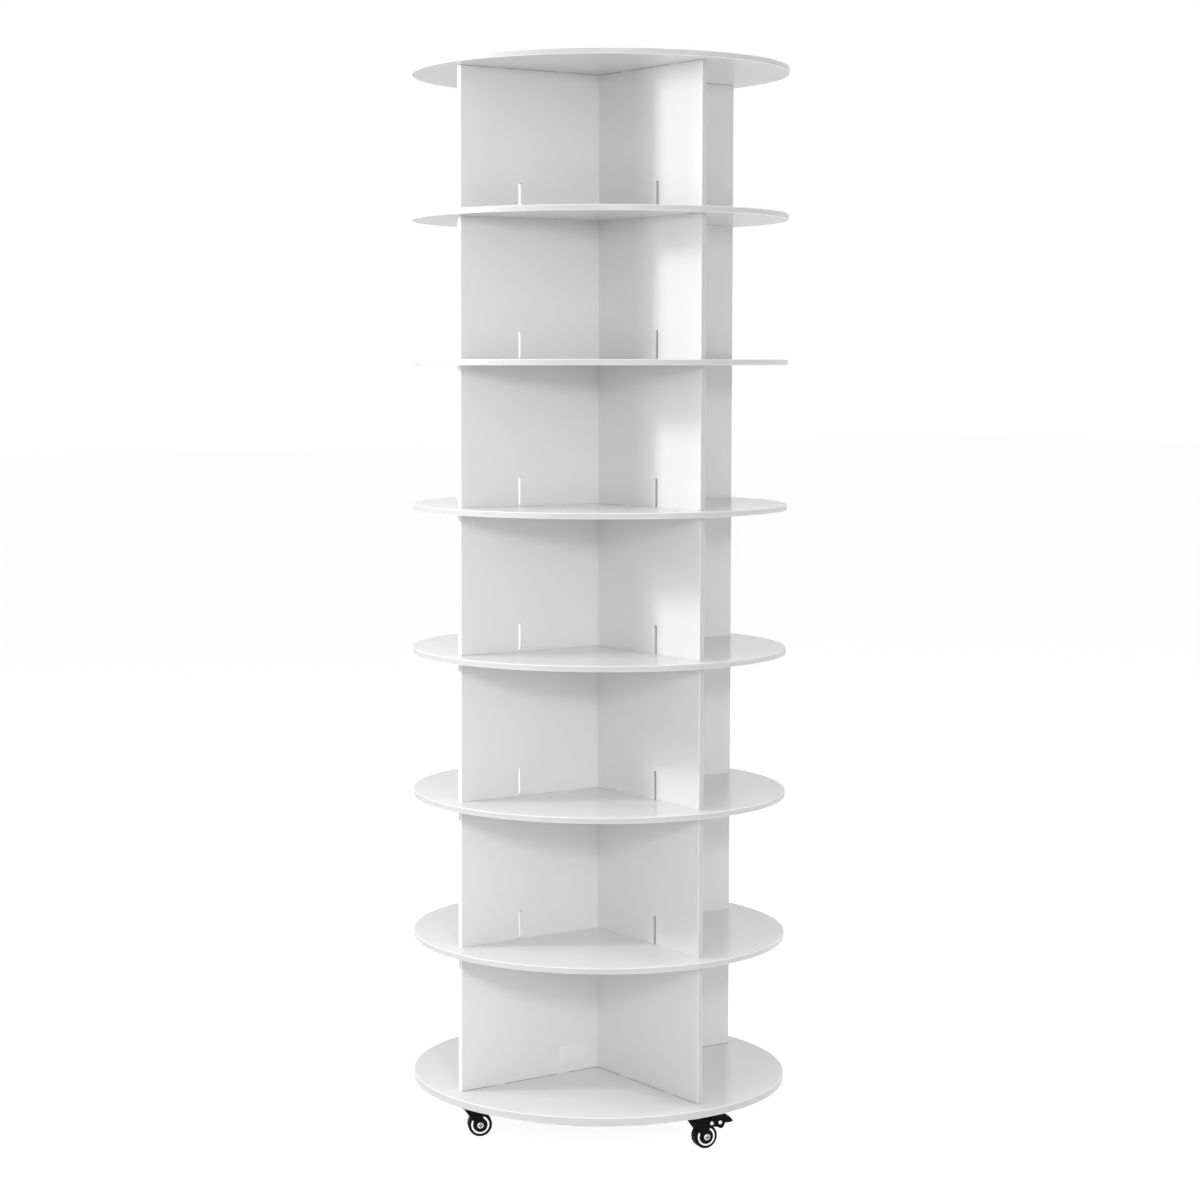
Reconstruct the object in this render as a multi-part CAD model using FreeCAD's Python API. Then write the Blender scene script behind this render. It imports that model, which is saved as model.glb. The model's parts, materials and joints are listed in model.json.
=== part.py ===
import FreeCAD, Part
import math
import os

# Rotating shoe tower: seven tiers of round boards and crossed uprights that turn as one on a ring
# turntable, above a fixed base disc on four swivel casters.
# Millimetres. +Z is up, the tower's axis is Z, the floor is Z = 0. The uprights lie along X and Y.

# ---- Boards ----
disc_radius = 300.0
board = 9.0                 # thickness of the uprights, the shelf discs and the top disc
bottom_board = 12.0         # thickness of the bottom shelf
rim_round = 1.0             # rounding of the discs' rims
tier_count = 7
tier_height = 221.0         # clear height between two shelves
arm_setback = 32.0          # from the rim to the upright's end
edge_round = 0.7            # rounding of the uprights' edges
lap_clearance = 0.1         # each side of the half-lap where two uprights cross
past = 1.0                  # how far a cutting shape runs past what it cuts

# ---- Tabs of the uprights, in mortises of the discs ----
tab_length = 20.0
inner_tab_at = 75.0         # from the axis to the tab's middle
outer_tab_at = 196.0
tab_clearance = 0.1

# ---- Slots in the uprights, above the shelf screws ----
slot_width = 6.0
slot_height = 46.0
slot_at = 157.0             # from the axis to the slot's middle

# ---- Shelf screws ----
screw_radius = 1.75
screw_head_radius = 2.6
screw_head_height = 2.0
screw_length = 35.0
screw_clearance = 0.05
tip_room = 1.0              # pilot hole past the screw's tip
cap_radius = 5.0
cap_height = 1.2

# ---- Label plate on one upright of the bottom tier ----
label_length = 60.0
label_height = 32.0
label_thickness = 0.4
label_corner = 2.5
label_from_axis = 20.0
label_above_shelf = 13.0

# ---- Base disc and the running gap above it ----
base_setback = 30.0         # from the shelves' rim to the base disc's rim
base_board = 9.0
base_gap = 1.0

# ---- Ring turntable ----
race_radius = 125.5         # from the axis to the balls' middle
ball_radius = 2.5
ball_spacing = 20.0
ball_clearance = 0.1
race_gap = 1.4              # between inner and outer ring
cage_wall = 0.8
cage_height = 7.4
ring_width = 22.0
ring_inset = 0.5            # between a ring and the pocket of the board that it turns against
pocket_margin = 1.0         # between a ring's edge and its pocket's wall
shelf_pocket = 4.5          # depth of the pocket in the bottom shelf
base_pocket = 3.5           # depth of the pocket in the base disc
ring_screw_count = 6
ring_screw_radius = 2.0
ring_screw_head_radius = 4.0
outer_screw_length = 12.0
inner_screw_length = 14.0
access_radius = 5.0         # holes in the base disc, below the inner ring's screws

# ---- Casters ----
caster_height = 52.0        # floor to the underside of the base disc
caster_inset = 17.0         # from the base disc's rim to the swivel axis
wheel_radius = 19.0
wheel_width = 17.0
tyre_height = 4.2
tyre_round = 2.5
trail = 18.0                # from the swivel axis to the axle
ring_outer = 14.5           # silver trim ring
ring_inner = 11.6
ring_thickness = 0.6
ring_seat = 0.5             # how far the ring's seat lies inside the tyre's side
hub_recess = 3.0
hub_boss_radius = 6.0
axle_radius = 3.0
axle_head_radius = 5.3
axle_head_height = 2.2
cross_length = 6.4          # the cross recess in the axle's head
cross_width = 1.6
nut_height = 3.0
running_fit = 0.05          # radial clearance of a shaft that turns in its hole
cheek_gap = 0.75            # between the wheel and the fork's cheek
boss_gap = 0.25             # between the hub's boss and the fork's cheek
sheet = 1.5                 # the fork's cheeks
crown = 2.0                 # the fork's top
crown_radius = 14.0
cheek_boss = 5.3            # radius of the cheek's round end
cheek_front = 10.5          # from the swivel axis forward to the cheek's upper corner
cheek_rear = 5.0            # from the axle back to the cheek's straight edge

# ---- Caster stem and swivel race ----
stem_radius = 4.0
stem_short = 0.5            # stem's end below the base disc's upper face
flange_thickness = 1.7
flange_radius = 14.0
swivel_gap = 1.8            # between the flange and the fork
pin_radius = 3.55
pin_head_radius = 5.5
pin_head_height = 1.7
pin_head_gap = 0.2
swivel_race_radius = 9.5
swivel_ball_radius = 1.2
swivel_ball_count = 10
nut_radius = 5.5            # insert nut's sleeve
nut_flange_radius = 8.0
nut_flange = 1.0

# ---- Brake pedal ----
pivot_back = 7.5            # from the axle to the pedal's pivot
pivot_rise = 21.3
ear_radius = 4.3
pedal_sheet = 1.2
pedal_gap = 0.25            # between the fork's cheek and the pedal's wall
pedal_rise = 10.6           # from the pivot to the pedal's top
pedal_reach = 36.8          # from the pivot to the pedal's tip
tread_length = 15.0
tread_angle = 42.0          # slope of the tread
tongue_toe_at = 8.0         # from the pivot to the tongue's toe
rivet_radius = 1.5
rivet_head_radius = 3.2
rivet_head_height = 1.2
rivet_head_round = 0.85
second_rivet_at = 14.5      # from the pivot
shoe_width = 15.0

# ---- What follows from them ----
arm_length = disc_radius - arm_setback
tab_gap = tab_clearance
tab_height = board / 2 - tab_gap
base_radius = disc_radius - base_setback
base_bottom = caster_height
base_top = base_bottom + base_board
bottom_shelf_bottom = base_top + base_gap
bottom_shelf_top = bottom_shelf_bottom + bottom_board
tier_pitch = tier_height + board
caster_circle = base_radius - caster_inset
cap_recess = screw_head_height + cap_height
foot_recess = screw_head_height + ring_inset
pilot_radius = screw_radius + screw_clearance

arm_angles = (0, 90, 180, 270)
caster_names = ("caster_1", "caster_2", "caster_3", "caster_4")
caster_arm_angles = (180, 270, 0, 90)
caster_heading_angles = (-26, -13, -30, -8)     # the way each wheel trails
braked_casters = ("caster_2", "caster_4")
casters = list(zip(caster_names, caster_arm_angles, caster_heading_angles))


# ---- Shapes ----
def rod(radius, low, high, x=0.0, y=0.0):
    """Upright cylinder from low to high."""
    return Part.makeCylinder(radius, high - low, FreeCAD.Vector(x, y, low))


def tube(outer, inner, low, high):
    """Upright ring about the tower's axis."""
    return rod(outer, low, high).cut(rod(inner, low - past, high + past))


def cross_rod(radius, low, high, x, z):
    """Cylinder along Y from low to high."""
    return Part.makeCylinder(radius, high - low, FreeCAD.Vector(x, low, z), FreeCAD.Vector(0, 1, 0))


def block(x0, x1, y0, y1, z0, z1):
    """Box between two corners."""
    return Part.makeBox(x1 - x0, y1 - y0, z1 - z0, FreeCAD.Vector(x0, y0, z0))


def side_plate(points, low, high):
    """Plate with an outline in X and Z that runs along Y from low to high."""
    corners = [FreeCAD.Vector(x, low, z) for x, z in points]
    face = Part.Face(Part.makePolygon(corners + corners[:1]))
    return face.extrude(FreeCAD.Vector(0, high - low, 0))


def turned(shape, angle, x=0.0, y=0.0):
    """Copy turned about Z, then moved."""
    copy = shape.copy()
    copy.rotate(FreeCAD.Vector(0, 0, 0), FreeCAD.Vector(0, 0, 1), angle)
    copy.translate(FreeCAD.Vector(x, y, 0))
    return copy


def raised(shape, z):
    """Copy moved up."""
    copy = shape.copy()
    copy.translate(FreeCAD.Vector(0, 0, z))
    return copy


def around(shape, angles):
    """One copy at each angle about the tower's axis."""
    return [turned(shape, angle) for angle in angles]


def write(name, shapes):
    """Writes one node; a list becomes a group of separate solids."""
    shape = Part.makeCompound(shapes) if isinstance(shapes, list) else shapes
    shape.exportStep("parts/" + name + ".step")


# ---- Uprights ----
def slot():
    """Round-topped slot, open at the bottom."""
    top = slot_height - slot_width / 2
    left = slot_at - slot_width / 2
    straight = block(left, left + slot_width, -board, board, -board, top)
    return straight.fuse(cross_rod(slot_width / 2, -board, board, slot_at, top))


def tabs():
    """Tabs above and below one arm, flush with the upright's faces."""
    root = 2 * edge_round
    half = board / 2
    pieces = []
    for middle in (inner_tab_at, outer_tab_at):
        left = middle - tab_length / 2
        right = middle + tab_length / 2
        pieces.append(block(left, right, -half, half, -tab_height, root))
        pieces.append(block(left, right, -half, half, tier_height - root, tier_height + tab_height))
    return pieces


def lap_notch(from_top):
    """Notch of the half-lap, from the top or the bottom edge to mid height."""
    half = board / 2 + lap_clearance
    middle = tier_height / 2
    if from_top:
        return block(-half, half, -board, board, middle - lap_clearance, tier_height + past)
    return block(-half, half, -board, board, -past, middle + lap_clearance)


def upright(tier, notch_from_top):
    """Upright board along X, standing on Z = 0. Tier 1 is the top one."""
    half = board / 2
    shape = block(-arm_length, arm_length, -half, half, 0, tier_height)
    shape = shape.makeFillet(edge_round, shape.Edges)
    for angle in (0, 180):
        shape = shape.fuse([turned(tab, angle) for tab in tabs()])
    sunk = cap_recess if tier == 1 else 0.0
    depth = screw_length + sunk - board + tip_room
    cuts = [rod(pilot_radius, tier_height - depth, tier_height + past, slot_at)]
    if tier < tier_count:
        cuts.append(slot())
    else:
        foot_depth = screw_length + foot_recess - bottom_board + tip_room
        cuts.append(rod(pilot_radius, -past, foot_depth, slot_at))
    shape = shape.cut([turned(cut, angle) for cut in cuts for angle in (0, 180)])
    return shape.cut(lap_notch(notch_from_top)).removeSplitter()


# ---- Round boards ----
def round_board(radius, low, high):
    """Disc with a rounded rim."""
    shape = rod(radius, low, high)
    rims = [edge for edge in shape.Edges if edge.Closed and isinstance(edge.Curve, Part.Circle)]
    return shape.makeFillet(rim_round, rims)


def mortises(low, high):
    """Mortises for the tabs of both uprights."""
    half = board / 2 + tab_clearance
    reach = tab_length / 2 + tab_clearance
    holes = []
    for middle in (inner_tab_at, outer_tab_at):
        holes += around(block(middle - reach, middle + reach, -half, half, low, high), arm_angles)
    return holes


def shelf_disc(bottom):
    """Disc between two tiers, with mortises and screw holes right through."""
    top = bottom + board
    holes = around(rod(pilot_radius, bottom - past, top + past, slot_at), arm_angles)
    return round_board(disc_radius, bottom, top).cut(mortises(bottom - past, top + past) + holes)


def top_disc(bottom):
    """Top disc: blind mortises below, capped screw holes above."""
    top = bottom + board
    hole = rod(pilot_radius, bottom - past, top + past, slot_at)
    recess = rod(cap_radius + screw_clearance, top - cap_recess, top + past, slot_at)
    blind = mortises(bottom - past, bottom + tab_height + tab_gap)
    return round_board(disc_radius, bottom, top).cut(blind + around(hole.fuse(recess), arm_angles))


def shelf_screw(seat):
    """Pan-head screw pointing down, its head standing on the seat."""
    shape = rod(screw_radius, seat - screw_length, seat + screw_head_height / 2, slot_at)
    head = rod(screw_head_radius, seat, seat + screw_head_height, slot_at)
    return shape.fuse(head).removeSplitter()


def foot_screw(seat):
    """The same screw pointing up, its head below the seat."""
    shape = rod(screw_radius, seat - screw_head_height / 2, seat + screw_length, slot_at)
    head = rod(screw_head_radius, seat - screw_head_height, seat, slot_at)
    return shape.fuse(head).removeSplitter()


def label_plate(shelf_top):
    """Thin blank plate with round corners, flat on an upright's face."""
    left = -label_from_axis - label_length
    face = -board / 2
    low = shelf_top + label_above_shelf
    plate = block(left, left + label_length, face - label_thickness, face, low, low + label_height)
    corners = [edge for edge in plate.Edges if abs(edge.tangentAt(edge.FirstParameter).y) > 0.5]
    return plate.makeFillet(label_corner, corners)


# ---- Ring turntable ----
ring_low = base_top - base_pocket                  # the outer ring stands here
ring_high = bottom_shelf_bottom + shelf_pocket     # the inner ring hangs here
race_z = (ring_low + ring_high) / 2
inner_ring_outer = race_radius - race_gap / 2
inner_ring_inner = inner_ring_outer - ring_width
outer_ring_inner = race_radius + race_gap / 2
outer_ring_outer = outer_ring_inner + ring_width
inner_screw_circle = (inner_ring_inner + inner_ring_outer) / 2
outer_screw_circle = (outer_ring_inner + outer_ring_outer) / 2
ring_screw_angles = [(step + 0.5) * 360 / ring_screw_count for step in range(ring_screw_count)]
ball_count = int(2 * math.pi * race_radius / ball_spacing)
ball_angles = [step * 360 / ball_count for step in range(ball_count)]


def flat_head_screw(x, face, tip, grow=0.0):
    """Countersunk screw along Z at x, its head flush at face and its tip towards tip."""
    way = 1 if tip > face else -1
    shank = ring_screw_radius + grow
    head = ring_screw_head_radius + grow
    origin = FreeCAD.Vector(x, 0, face)
    direction = FreeCAD.Vector(0, 0, way)
    cone = Part.makeCone(head, shank, head - shank, origin, direction)
    return cone.fuse(Part.makeCylinder(shank, abs(tip - face), origin, direction)).removeSplitter()


def groove():
    """Ball groove shared by both rings."""
    middle = FreeCAD.Vector(0, 0, race_z)
    return Part.makeTorus(race_radius, ball_radius + ball_clearance, middle)


def turntable_pocket(low, high):
    """Room for both rings in a board."""
    return tube(outer_ring_outer + pocket_margin, inner_ring_inner - pocket_margin, low, high)


def ring(inner, outer, low, high, screw):
    """Turntable ring with a ball groove and countersunk holes."""
    holes = around(screw, ring_screw_angles)
    return tube(outer, inner, low, high).cut([groove()] + holes)


outer_face = ring_high - ring_inset
inner_face = ring_low + ring_inset
outer_screw = flat_head_screw(outer_screw_circle, outer_face, outer_face - outer_screw_length)
outer_hole = flat_head_screw(outer_screw_circle, outer_face, outer_face - outer_screw_length - tip_room,
                             screw_clearance)
inner_screw = flat_head_screw(inner_screw_circle, inner_face, inner_face + inner_screw_length)
inner_hole = flat_head_screw(inner_screw_circle, inner_face, inner_face + inner_screw_length + tip_room / 2,
                             screw_clearance)


def ball_cage():
    """Thin ring between the turntable rings, with a hole for each ball."""
    outer = race_radius + cage_wall / 2
    inner = race_radius - cage_wall / 2
    wall = tube(outer, inner, race_z - cage_height / 2, race_z + cage_height / 2)
    start = FreeCAD.Vector(inner - past, 0, race_z)
    radial = FreeCAD.Vector(1, 0, 0)
    hole = Part.makeCylinder(ball_radius + ball_clearance, cage_wall + 2 * past, start, radial)
    return wall.cut(around(hole, ball_angles))


def bottom_shelf():
    """Bottom shelf: blind mortises above, turntable pocket and sunk screws below."""
    low = bottom_shelf_bottom
    high = bottom_shelf_top
    hole = rod(pilot_radius, low - past, high + past, slot_at)
    recess = rod(screw_head_radius + screw_clearance, low - past, low + foot_recess, slot_at)
    cuts = mortises(high - tab_height - tab_gap, high + past) + around(hole.fuse(recess), arm_angles)
    cuts += [turntable_pocket(low - past, low + shelf_pocket)] + around(inner_hole, ring_screw_angles)
    return round_board(disc_radius, low, high).cut(cuts)


def base_disc():
    """Fixed disc that carries the outer ring above and the casters below."""
    insert = rod(nut_radius + screw_clearance, base_bottom - past, base_top + past, caster_circle)
    seat = rod(nut_flange_radius + screw_clearance, base_top - nut_flange, base_top + past, caster_circle)
    access = rod(access_radius, base_bottom - past, base_top, inner_screw_circle)
    cuts = around(insert.fuse(seat), arm_angles) + around(access, ring_screw_angles)
    cuts += [turntable_pocket(base_top - base_pocket, base_top + past)]
    cuts += around(outer_hole, ring_screw_angles)
    return round_board(base_radius, base_bottom, base_top).cut(cuts)


# ---- Casters, built with the swivel axis at X = Y = 0 and the wheel trailing towards +X ----
stem_low = caster_height - flange_thickness        # underside of the stem's flange
fork_top = stem_low - swivel_gap
crown_low = fork_top - crown
axle_z = wheel_radius
cheek_inner = wheel_width / 2 + cheek_gap
cheek_outer = cheek_inner + sheet
swivel_ball_z = (stem_low + fork_top) / 2
pivot_x = trail + pivot_back
pivot_z = axle_z + pivot_rise
wall_inner = cheek_outer + pedal_gap
wall_outer = wall_inner + pedal_sheet
hub_radius = wheel_radius - tyre_height


def both_sides(build, inner, outer):
    """The same piece between inner and outer on each side of the caster's middle plane."""
    return [build(-outer, -inner), build(inner, outer)]


def swivel_groove():
    """Ball groove of the swivel, cut from the fork and the stem's flange."""
    middle = FreeCAD.Vector(0, 0, swivel_ball_z)
    return Part.makeTorus(swivel_race_radius, swivel_ball_radius + ball_clearance, middle)


def stem():
    """Threaded stem, flange and riveted king pin in one piece."""
    shape = rod(stem_radius, caster_height, base_top - stem_short)
    shape = shape.fuse(rod(flange_radius, stem_low, caster_height))
    head_top = crown_low - pin_head_gap
    shape = shape.fuse(rod(pin_radius, head_top - pin_head_height, stem_low))
    head = rod(pin_head_radius, head_top - pin_head_height, head_top)
    return shape.fuse(head).removeSplitter().cut(swivel_groove())


def insert_nut():
    """Flanged sleeve in the base disc that takes the stem."""
    shape = rod(nut_radius, base_bottom, base_top)
    shape = shape.fuse(rod(nut_flange_radius, base_top - nut_flange, base_top)).removeSplitter()
    return shape.cut(rod(stem_radius + screw_clearance, base_bottom - past, base_top + past))


def swivel_balls():
    """Balls between the fork and the flange."""
    ball = Part.makeSphere(swivel_ball_radius, FreeCAD.Vector(swivel_race_radius, 0, swivel_ball_z))
    return around(ball, [step * 360 / swivel_ball_count for step in range(swivel_ball_count)])


def cheek_tangent():
    """Where the cheek's slanting front edge meets its round end."""
    run = -cheek_front - trail
    rise = fork_top - axle_z
    distance = math.hypot(run, rise)
    angle = math.atan2(rise, run) + math.acos(cheek_boss / distance)
    return trail + cheek_boss * math.cos(angle), axle_z + cheek_boss * math.sin(angle)


def cheek(low, high, braked):
    """One cheek of the fork, with an ear for the pedal's pivot if it has a brake."""
    rear = trail + cheek_rear
    points = [(-cheek_front, fork_top), cheek_tangent(), (trail, axle_z), (rear, axle_z), (rear, fork_top)]
    shape = side_plate(points, low, high).fuse(cross_rod(cheek_boss, low, high, trail, axle_z))
    if braked:
        root = rear - cheek_rear / 2
        ear = [(root, fork_top), (root, pivot_z - ear_radius), (pivot_x, pivot_z - ear_radius),
               (pivot_x, fork_top)]
        shape = shape.fuse([side_plate(ear, low, high), cross_rod(ear_radius, low, high, pivot_x, pivot_z)])
    return shape.removeSplitter()


def fork(braked):
    """Bent sheet fork: round crown, two cheeks and the axle and king pin holes."""
    rear = trail + cheek_rear
    shape = rod(crown_radius, crown_low, fork_top)
    shape = shape.fuse(block(0, rear, -cheek_outer, cheek_outer, crown_low, fork_top))
    shape = shape.fuse(both_sides(lambda low, high: cheek(low, high, braked), cheek_inner, cheek_outer))
    holes = [rod(pin_radius + running_fit, crown_low - past, fork_top + past), swivel_groove()]
    reach = cheek_outer + past
    holes.append(cross_rod(axle_radius + screw_clearance, -reach, reach, trail, axle_z))
    if braked:
        holes.append(cross_rod(rivet_radius + running_fit, -reach, reach, pivot_x, pivot_z))
    return shape.removeSplitter().cut(holes)


def axle_bolt():
    """Cross-head axle bolt and its hexagon nut."""
    head_end = -cheek_outer - axle_head_height
    nut_end = cheek_outer + nut_height
    bolt = cross_rod(axle_radius, -cheek_outer - axle_head_height / 2, nut_end + tip_room, trail, axle_z)
    head = cross_rod(axle_head_radius, head_end, -cheek_outer, trail, axle_z)
    rim = [edge for edge in head.Edges if edge.Closed and abs(edge.CenterOfMass.y - head_end) < 0.01]
    bolt = bolt.fuse(head.makeFillet(axle_head_height / 2, rim)).removeSplitter()
    wing = cross_length / 2
    blade = cross_width / 2
    start = head_end - past
    depth = head_end + axle_head_height / 2
    slot_a = block(trail - wing, trail + wing, start, depth, axle_z - blade, axle_z + blade)
    slot_b = block(trail - blade, trail + blade, start, depth, axle_z - wing, axle_z + wing)
    corners = [(trail + axle_head_radius * math.cos(math.radians(60 * step)),
                axle_z + axle_head_radius * math.sin(math.radians(60 * step))) for step in range(6)]
    nut = side_plate(corners, cheek_outer, nut_end)
    hole = cross_rod(axle_radius + screw_clearance, cheek_outer - past, nut_end + past, trail, axle_z)
    return [bolt.cut([slot_a, slot_b]), nut.cut(hole)]


def tyre():
    """Tyre with rounded shoulders."""
    half = wheel_width / 2
    shape = cross_rod(wheel_radius, -half, half, trail, axle_z)
    rims = [edge for edge in shape.Edges if edge.Closed and isinstance(edge.Curve, Part.Circle)]
    shape = shape.makeFillet(tyre_round, rims)
    return shape.cut(cross_rod(hub_radius, -half - past, half + past, trail, axle_z))


def hub():
    """Wheel hub: seats for the trim rings, a recess inside them and a boss on the axle."""
    seat = wheel_width / 2 - ring_seat
    floor = seat - hub_recess
    boss = cheek_inner - boss_gap
    shape = cross_rod(hub_radius, -seat, seat, trail, axle_z)
    shape = shape.cut(both_sides(
        lambda low, high: cross_rod(ring_inner, low, high, trail, axle_z), floor, seat + past))
    shape = shape.fuse(cross_rod(hub_boss_radius, -boss, boss, trail, axle_z)).removeSplitter()
    return shape.cut(cross_rod(axle_radius + running_fit, -boss - past, boss + past, trail, axle_z))


def trim_rings():
    """Silver ring on each face of the wheel."""
    seat = wheel_width / 2 - ring_seat

    def trim(low, high):
        outer = cross_rod(ring_outer, low, high, trail, axle_z)
        return outer.cut(cross_rod(ring_inner, low - past, high + past, trail, axle_z))

    return both_sides(trim, seat, seat + ring_thickness)


def brake_pedal():
    """Pedal folded from sheet: two walls, a web above, a slanting tread and a tongue for the tyre."""
    top = pivot_z + pedal_rise
    tip_x = pivot_x + pedal_reach
    tread_x = tip_x - tread_length * math.cos(math.radians(tread_angle))
    step_x = pivot_x + second_rivet_at + 2 * ear_radius
    low_z = pivot_z - 2 * ear_radius
    second_x = pivot_x + second_rivet_at
    wall = [
        (pivot_x, pivot_z - ear_radius),
        (second_x - rivet_head_radius, low_z + pedal_sheet),
        (second_x, low_z - pedal_sheet),
        (step_x - rivet_head_radius, low_z),
        (step_x, pivot_z - rivet_radius),
        (tip_x - ear_radius, pivot_z - rivet_radius),
        (tip_x, pivot_z),
        (tread_x, top),
        (pivot_x + rivet_head_radius, top),
        (pivot_x, pivot_z + ear_radius),
    ]

    def wall_piece(low, high):
        eye = cross_rod(ear_radius, low, high, pivot_x, pivot_z)
        return side_plate(wall, low, high).fuse(eye).removeSplitter()

    walls = both_sides(wall_piece, wall_inner, wall_outer)
    web = block(pivot_x + rivet_head_radius, tread_x, -wall_outer, wall_outer, top - pedal_sheet, top)
    tread = side_plate([(tread_x, top), (tip_x, pivot_z), (tip_x - pedal_sheet, pivot_z - pedal_sheet / 2),
                        (tread_x - pedal_sheet, top - pedal_sheet)], -wall_outer, wall_outer)
    half = shoe_width / 2
    bend_x = second_x + rivet_radius
    shoe_z = pivot_z - ear_radius
    toe_x = pivot_x + tongue_toe_at
    tongue = [(bend_x, top - pedal_sheet / 2), (bend_x, shoe_z - 2 * pedal_sheet),
              (toe_x, shoe_z - pedal_sheet), (toe_x + pedal_sheet / 2, shoe_z),
              (second_x - rivet_radius, shoe_z - pedal_sheet / 2),
              (second_x - rivet_radius, top - pedal_sheet / 2)]
    boss = cross_rod(rivet_head_radius, -half, half, second_x, pivot_z)
    shape = walls[0].fuse([walls[1], web, tread, side_plate(tongue, -half, half), boss]).removeSplitter()
    reach = wall_outer + past
    hole = rivet_radius + screw_clearance
    return shape.cut([cross_rod(hole, -reach, reach, x, pivot_z) for x in (pivot_x, second_x)])


def brake_rivets():
    """Pivot rivet through the fork's ears, and the rivet through the pedal's tongue."""
    end = wall_outer + rivet_head_height
    rivets = []
    for x in (pivot_x, pivot_x + second_rivet_at):
        shape = cross_rod(rivet_radius, -wall_outer, wall_outer, x, pivot_z)
        for low, high, face in ((-end, -wall_outer, -end), (wall_outer, end, end)):
            head = cross_rod(rivet_head_radius, low, high, x, pivot_z)
            rim = [edge for edge in head.Edges if edge.Closed and abs(edge.CenterOfMass.y - face) < 0.01]
            shape = shape.fuse(head.makeFillet(rivet_head_round, rim))
        rivets.append(shape.removeSplitter())
    return rivets


def on_caster(shape, arm, heading):
    """Moves a caster's piece to its arm, turned to its heading."""
    x = caster_circle * math.cos(math.radians(arm))
    y = caster_circle * math.sin(math.radians(arm))
    return turned(shape, heading, x, y)


# ---- The tower: everything that turns on the turntable ----
shelf_tops = [bottom_shelf_top + level * tier_pitch for level in range(tier_count + 1)]

write("bottom_shelf", bottom_shelf())
write("top_disc", top_disc(shelf_tops[tier_count] - board))
for tier in range(1, tier_count):
    write("shelf_disc_%d" % tier, shelf_disc(shelf_tops[tier_count - tier] - board))
for tier in range(1, tier_count + 1):
    floor = shelf_tops[tier_count - tier]
    write("upright_x_%d" % tier, raised(upright(tier, True), floor))
    write("upright_y_%d" % tier, raised(turned(upright(tier, False), 90), floor))

seats = shelf_tops[1:tier_count] + [shelf_tops[tier_count] - cap_recess]
screws = [shelf_screw(seat) for seat in seats] + [foot_screw(bottom_shelf_bottom + foot_recess)]
write("shelf_screws", [copy for screw in screws for copy in around(screw, arm_angles)])
cap = rod(cap_radius, shelf_tops[tier_count] - cap_height, shelf_tops[tier_count], slot_at)
write("screw_caps", around(cap, arm_angles))
write("label_plate", label_plate(bottom_shelf_top))

write("turntable_inner_ring", ring(inner_ring_inner, inner_ring_outer, inner_face, ring_high, inner_hole))
write("inner_ring_screws", around(inner_screw, ring_screw_angles))
write("turntable_outer_ring", ring(outer_ring_inner, outer_ring_outer, ring_low, outer_face, outer_hole))
write("outer_ring_screws", around(outer_screw, ring_screw_angles))
write("turntable_cage", ball_cage())
turntable_ball = Part.makeSphere(ball_radius, FreeCAD.Vector(race_radius, 0, race_z))
write("turntable_balls", around(turntable_ball, ball_angles))

# ---- The base and its casters ----
write("base_disc", base_disc())
for node, pieces in (("caster_stems", [stem()]), ("insert_nuts", [insert_nut()]),
                     ("swivel_balls", swivel_balls())):
    write(node, [on_caster(piece, arm, heading) for _, arm, heading in casters for piece in pieces])

for name, arm, heading in casters:
    braked = name in braked_casters
    nodes = {
        "fork": [fork(braked)],
        "axle": axle_bolt(),
        "hub": [hub()],
        "tyre": [tyre()],
        "trim_rings": trim_rings(),
    }
    if braked:
        nodes["brake_pedal"] = [brake_pedal()]
        nodes["brake_rivets"] = brake_rivets()
    for node, pieces in nodes.items():
        placed = [on_caster(piece, arm, heading) for piece in pieces]
        write(name + "_" + node, placed if len(placed) > 1 else placed[0])
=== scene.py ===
"""Looks of a rotating shoe tower: its finishes, the fine shapes of its casters and trim, and the studio.

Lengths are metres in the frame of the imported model: +Z up, the tower's axis on Z, the floor at Z = 0.
"""

import json
import logging
import math
from collections.abc import Sequence
from dataclasses import dataclass
from enum import Enum
from typing import ClassVar

import bmesh
import bpy
import numpy as np
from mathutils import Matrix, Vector

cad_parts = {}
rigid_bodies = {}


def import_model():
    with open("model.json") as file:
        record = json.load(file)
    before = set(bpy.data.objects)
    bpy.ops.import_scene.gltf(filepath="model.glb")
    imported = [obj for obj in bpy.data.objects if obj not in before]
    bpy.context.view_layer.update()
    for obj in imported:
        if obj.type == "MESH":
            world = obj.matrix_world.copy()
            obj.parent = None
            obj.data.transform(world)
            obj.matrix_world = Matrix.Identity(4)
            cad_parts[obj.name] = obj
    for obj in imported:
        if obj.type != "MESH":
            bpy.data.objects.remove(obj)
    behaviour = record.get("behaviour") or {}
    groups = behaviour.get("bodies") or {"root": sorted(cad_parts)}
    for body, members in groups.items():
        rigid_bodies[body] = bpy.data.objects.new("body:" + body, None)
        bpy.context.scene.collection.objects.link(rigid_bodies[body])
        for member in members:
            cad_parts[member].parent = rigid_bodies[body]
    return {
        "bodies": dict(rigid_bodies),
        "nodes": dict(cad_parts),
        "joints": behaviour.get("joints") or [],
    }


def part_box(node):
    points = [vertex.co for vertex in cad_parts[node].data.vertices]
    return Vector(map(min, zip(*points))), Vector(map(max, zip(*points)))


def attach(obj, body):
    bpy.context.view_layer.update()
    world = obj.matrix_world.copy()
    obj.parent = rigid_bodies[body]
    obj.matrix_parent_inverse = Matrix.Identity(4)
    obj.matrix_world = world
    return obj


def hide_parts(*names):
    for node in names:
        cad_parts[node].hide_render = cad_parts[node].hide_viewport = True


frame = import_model()

MM = 0.001
SHARP = 1e-4 * MM   # least radius of an outline's corner, and how near two points are one
# A bolt's cross is painted dark as shade where this attribute is 1.
RECESS_SHADE = "sunk"       # attribute of a bolt's points: 1 in the cross that its head holds
log = logging.getLogger("shoe_tower")


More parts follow.
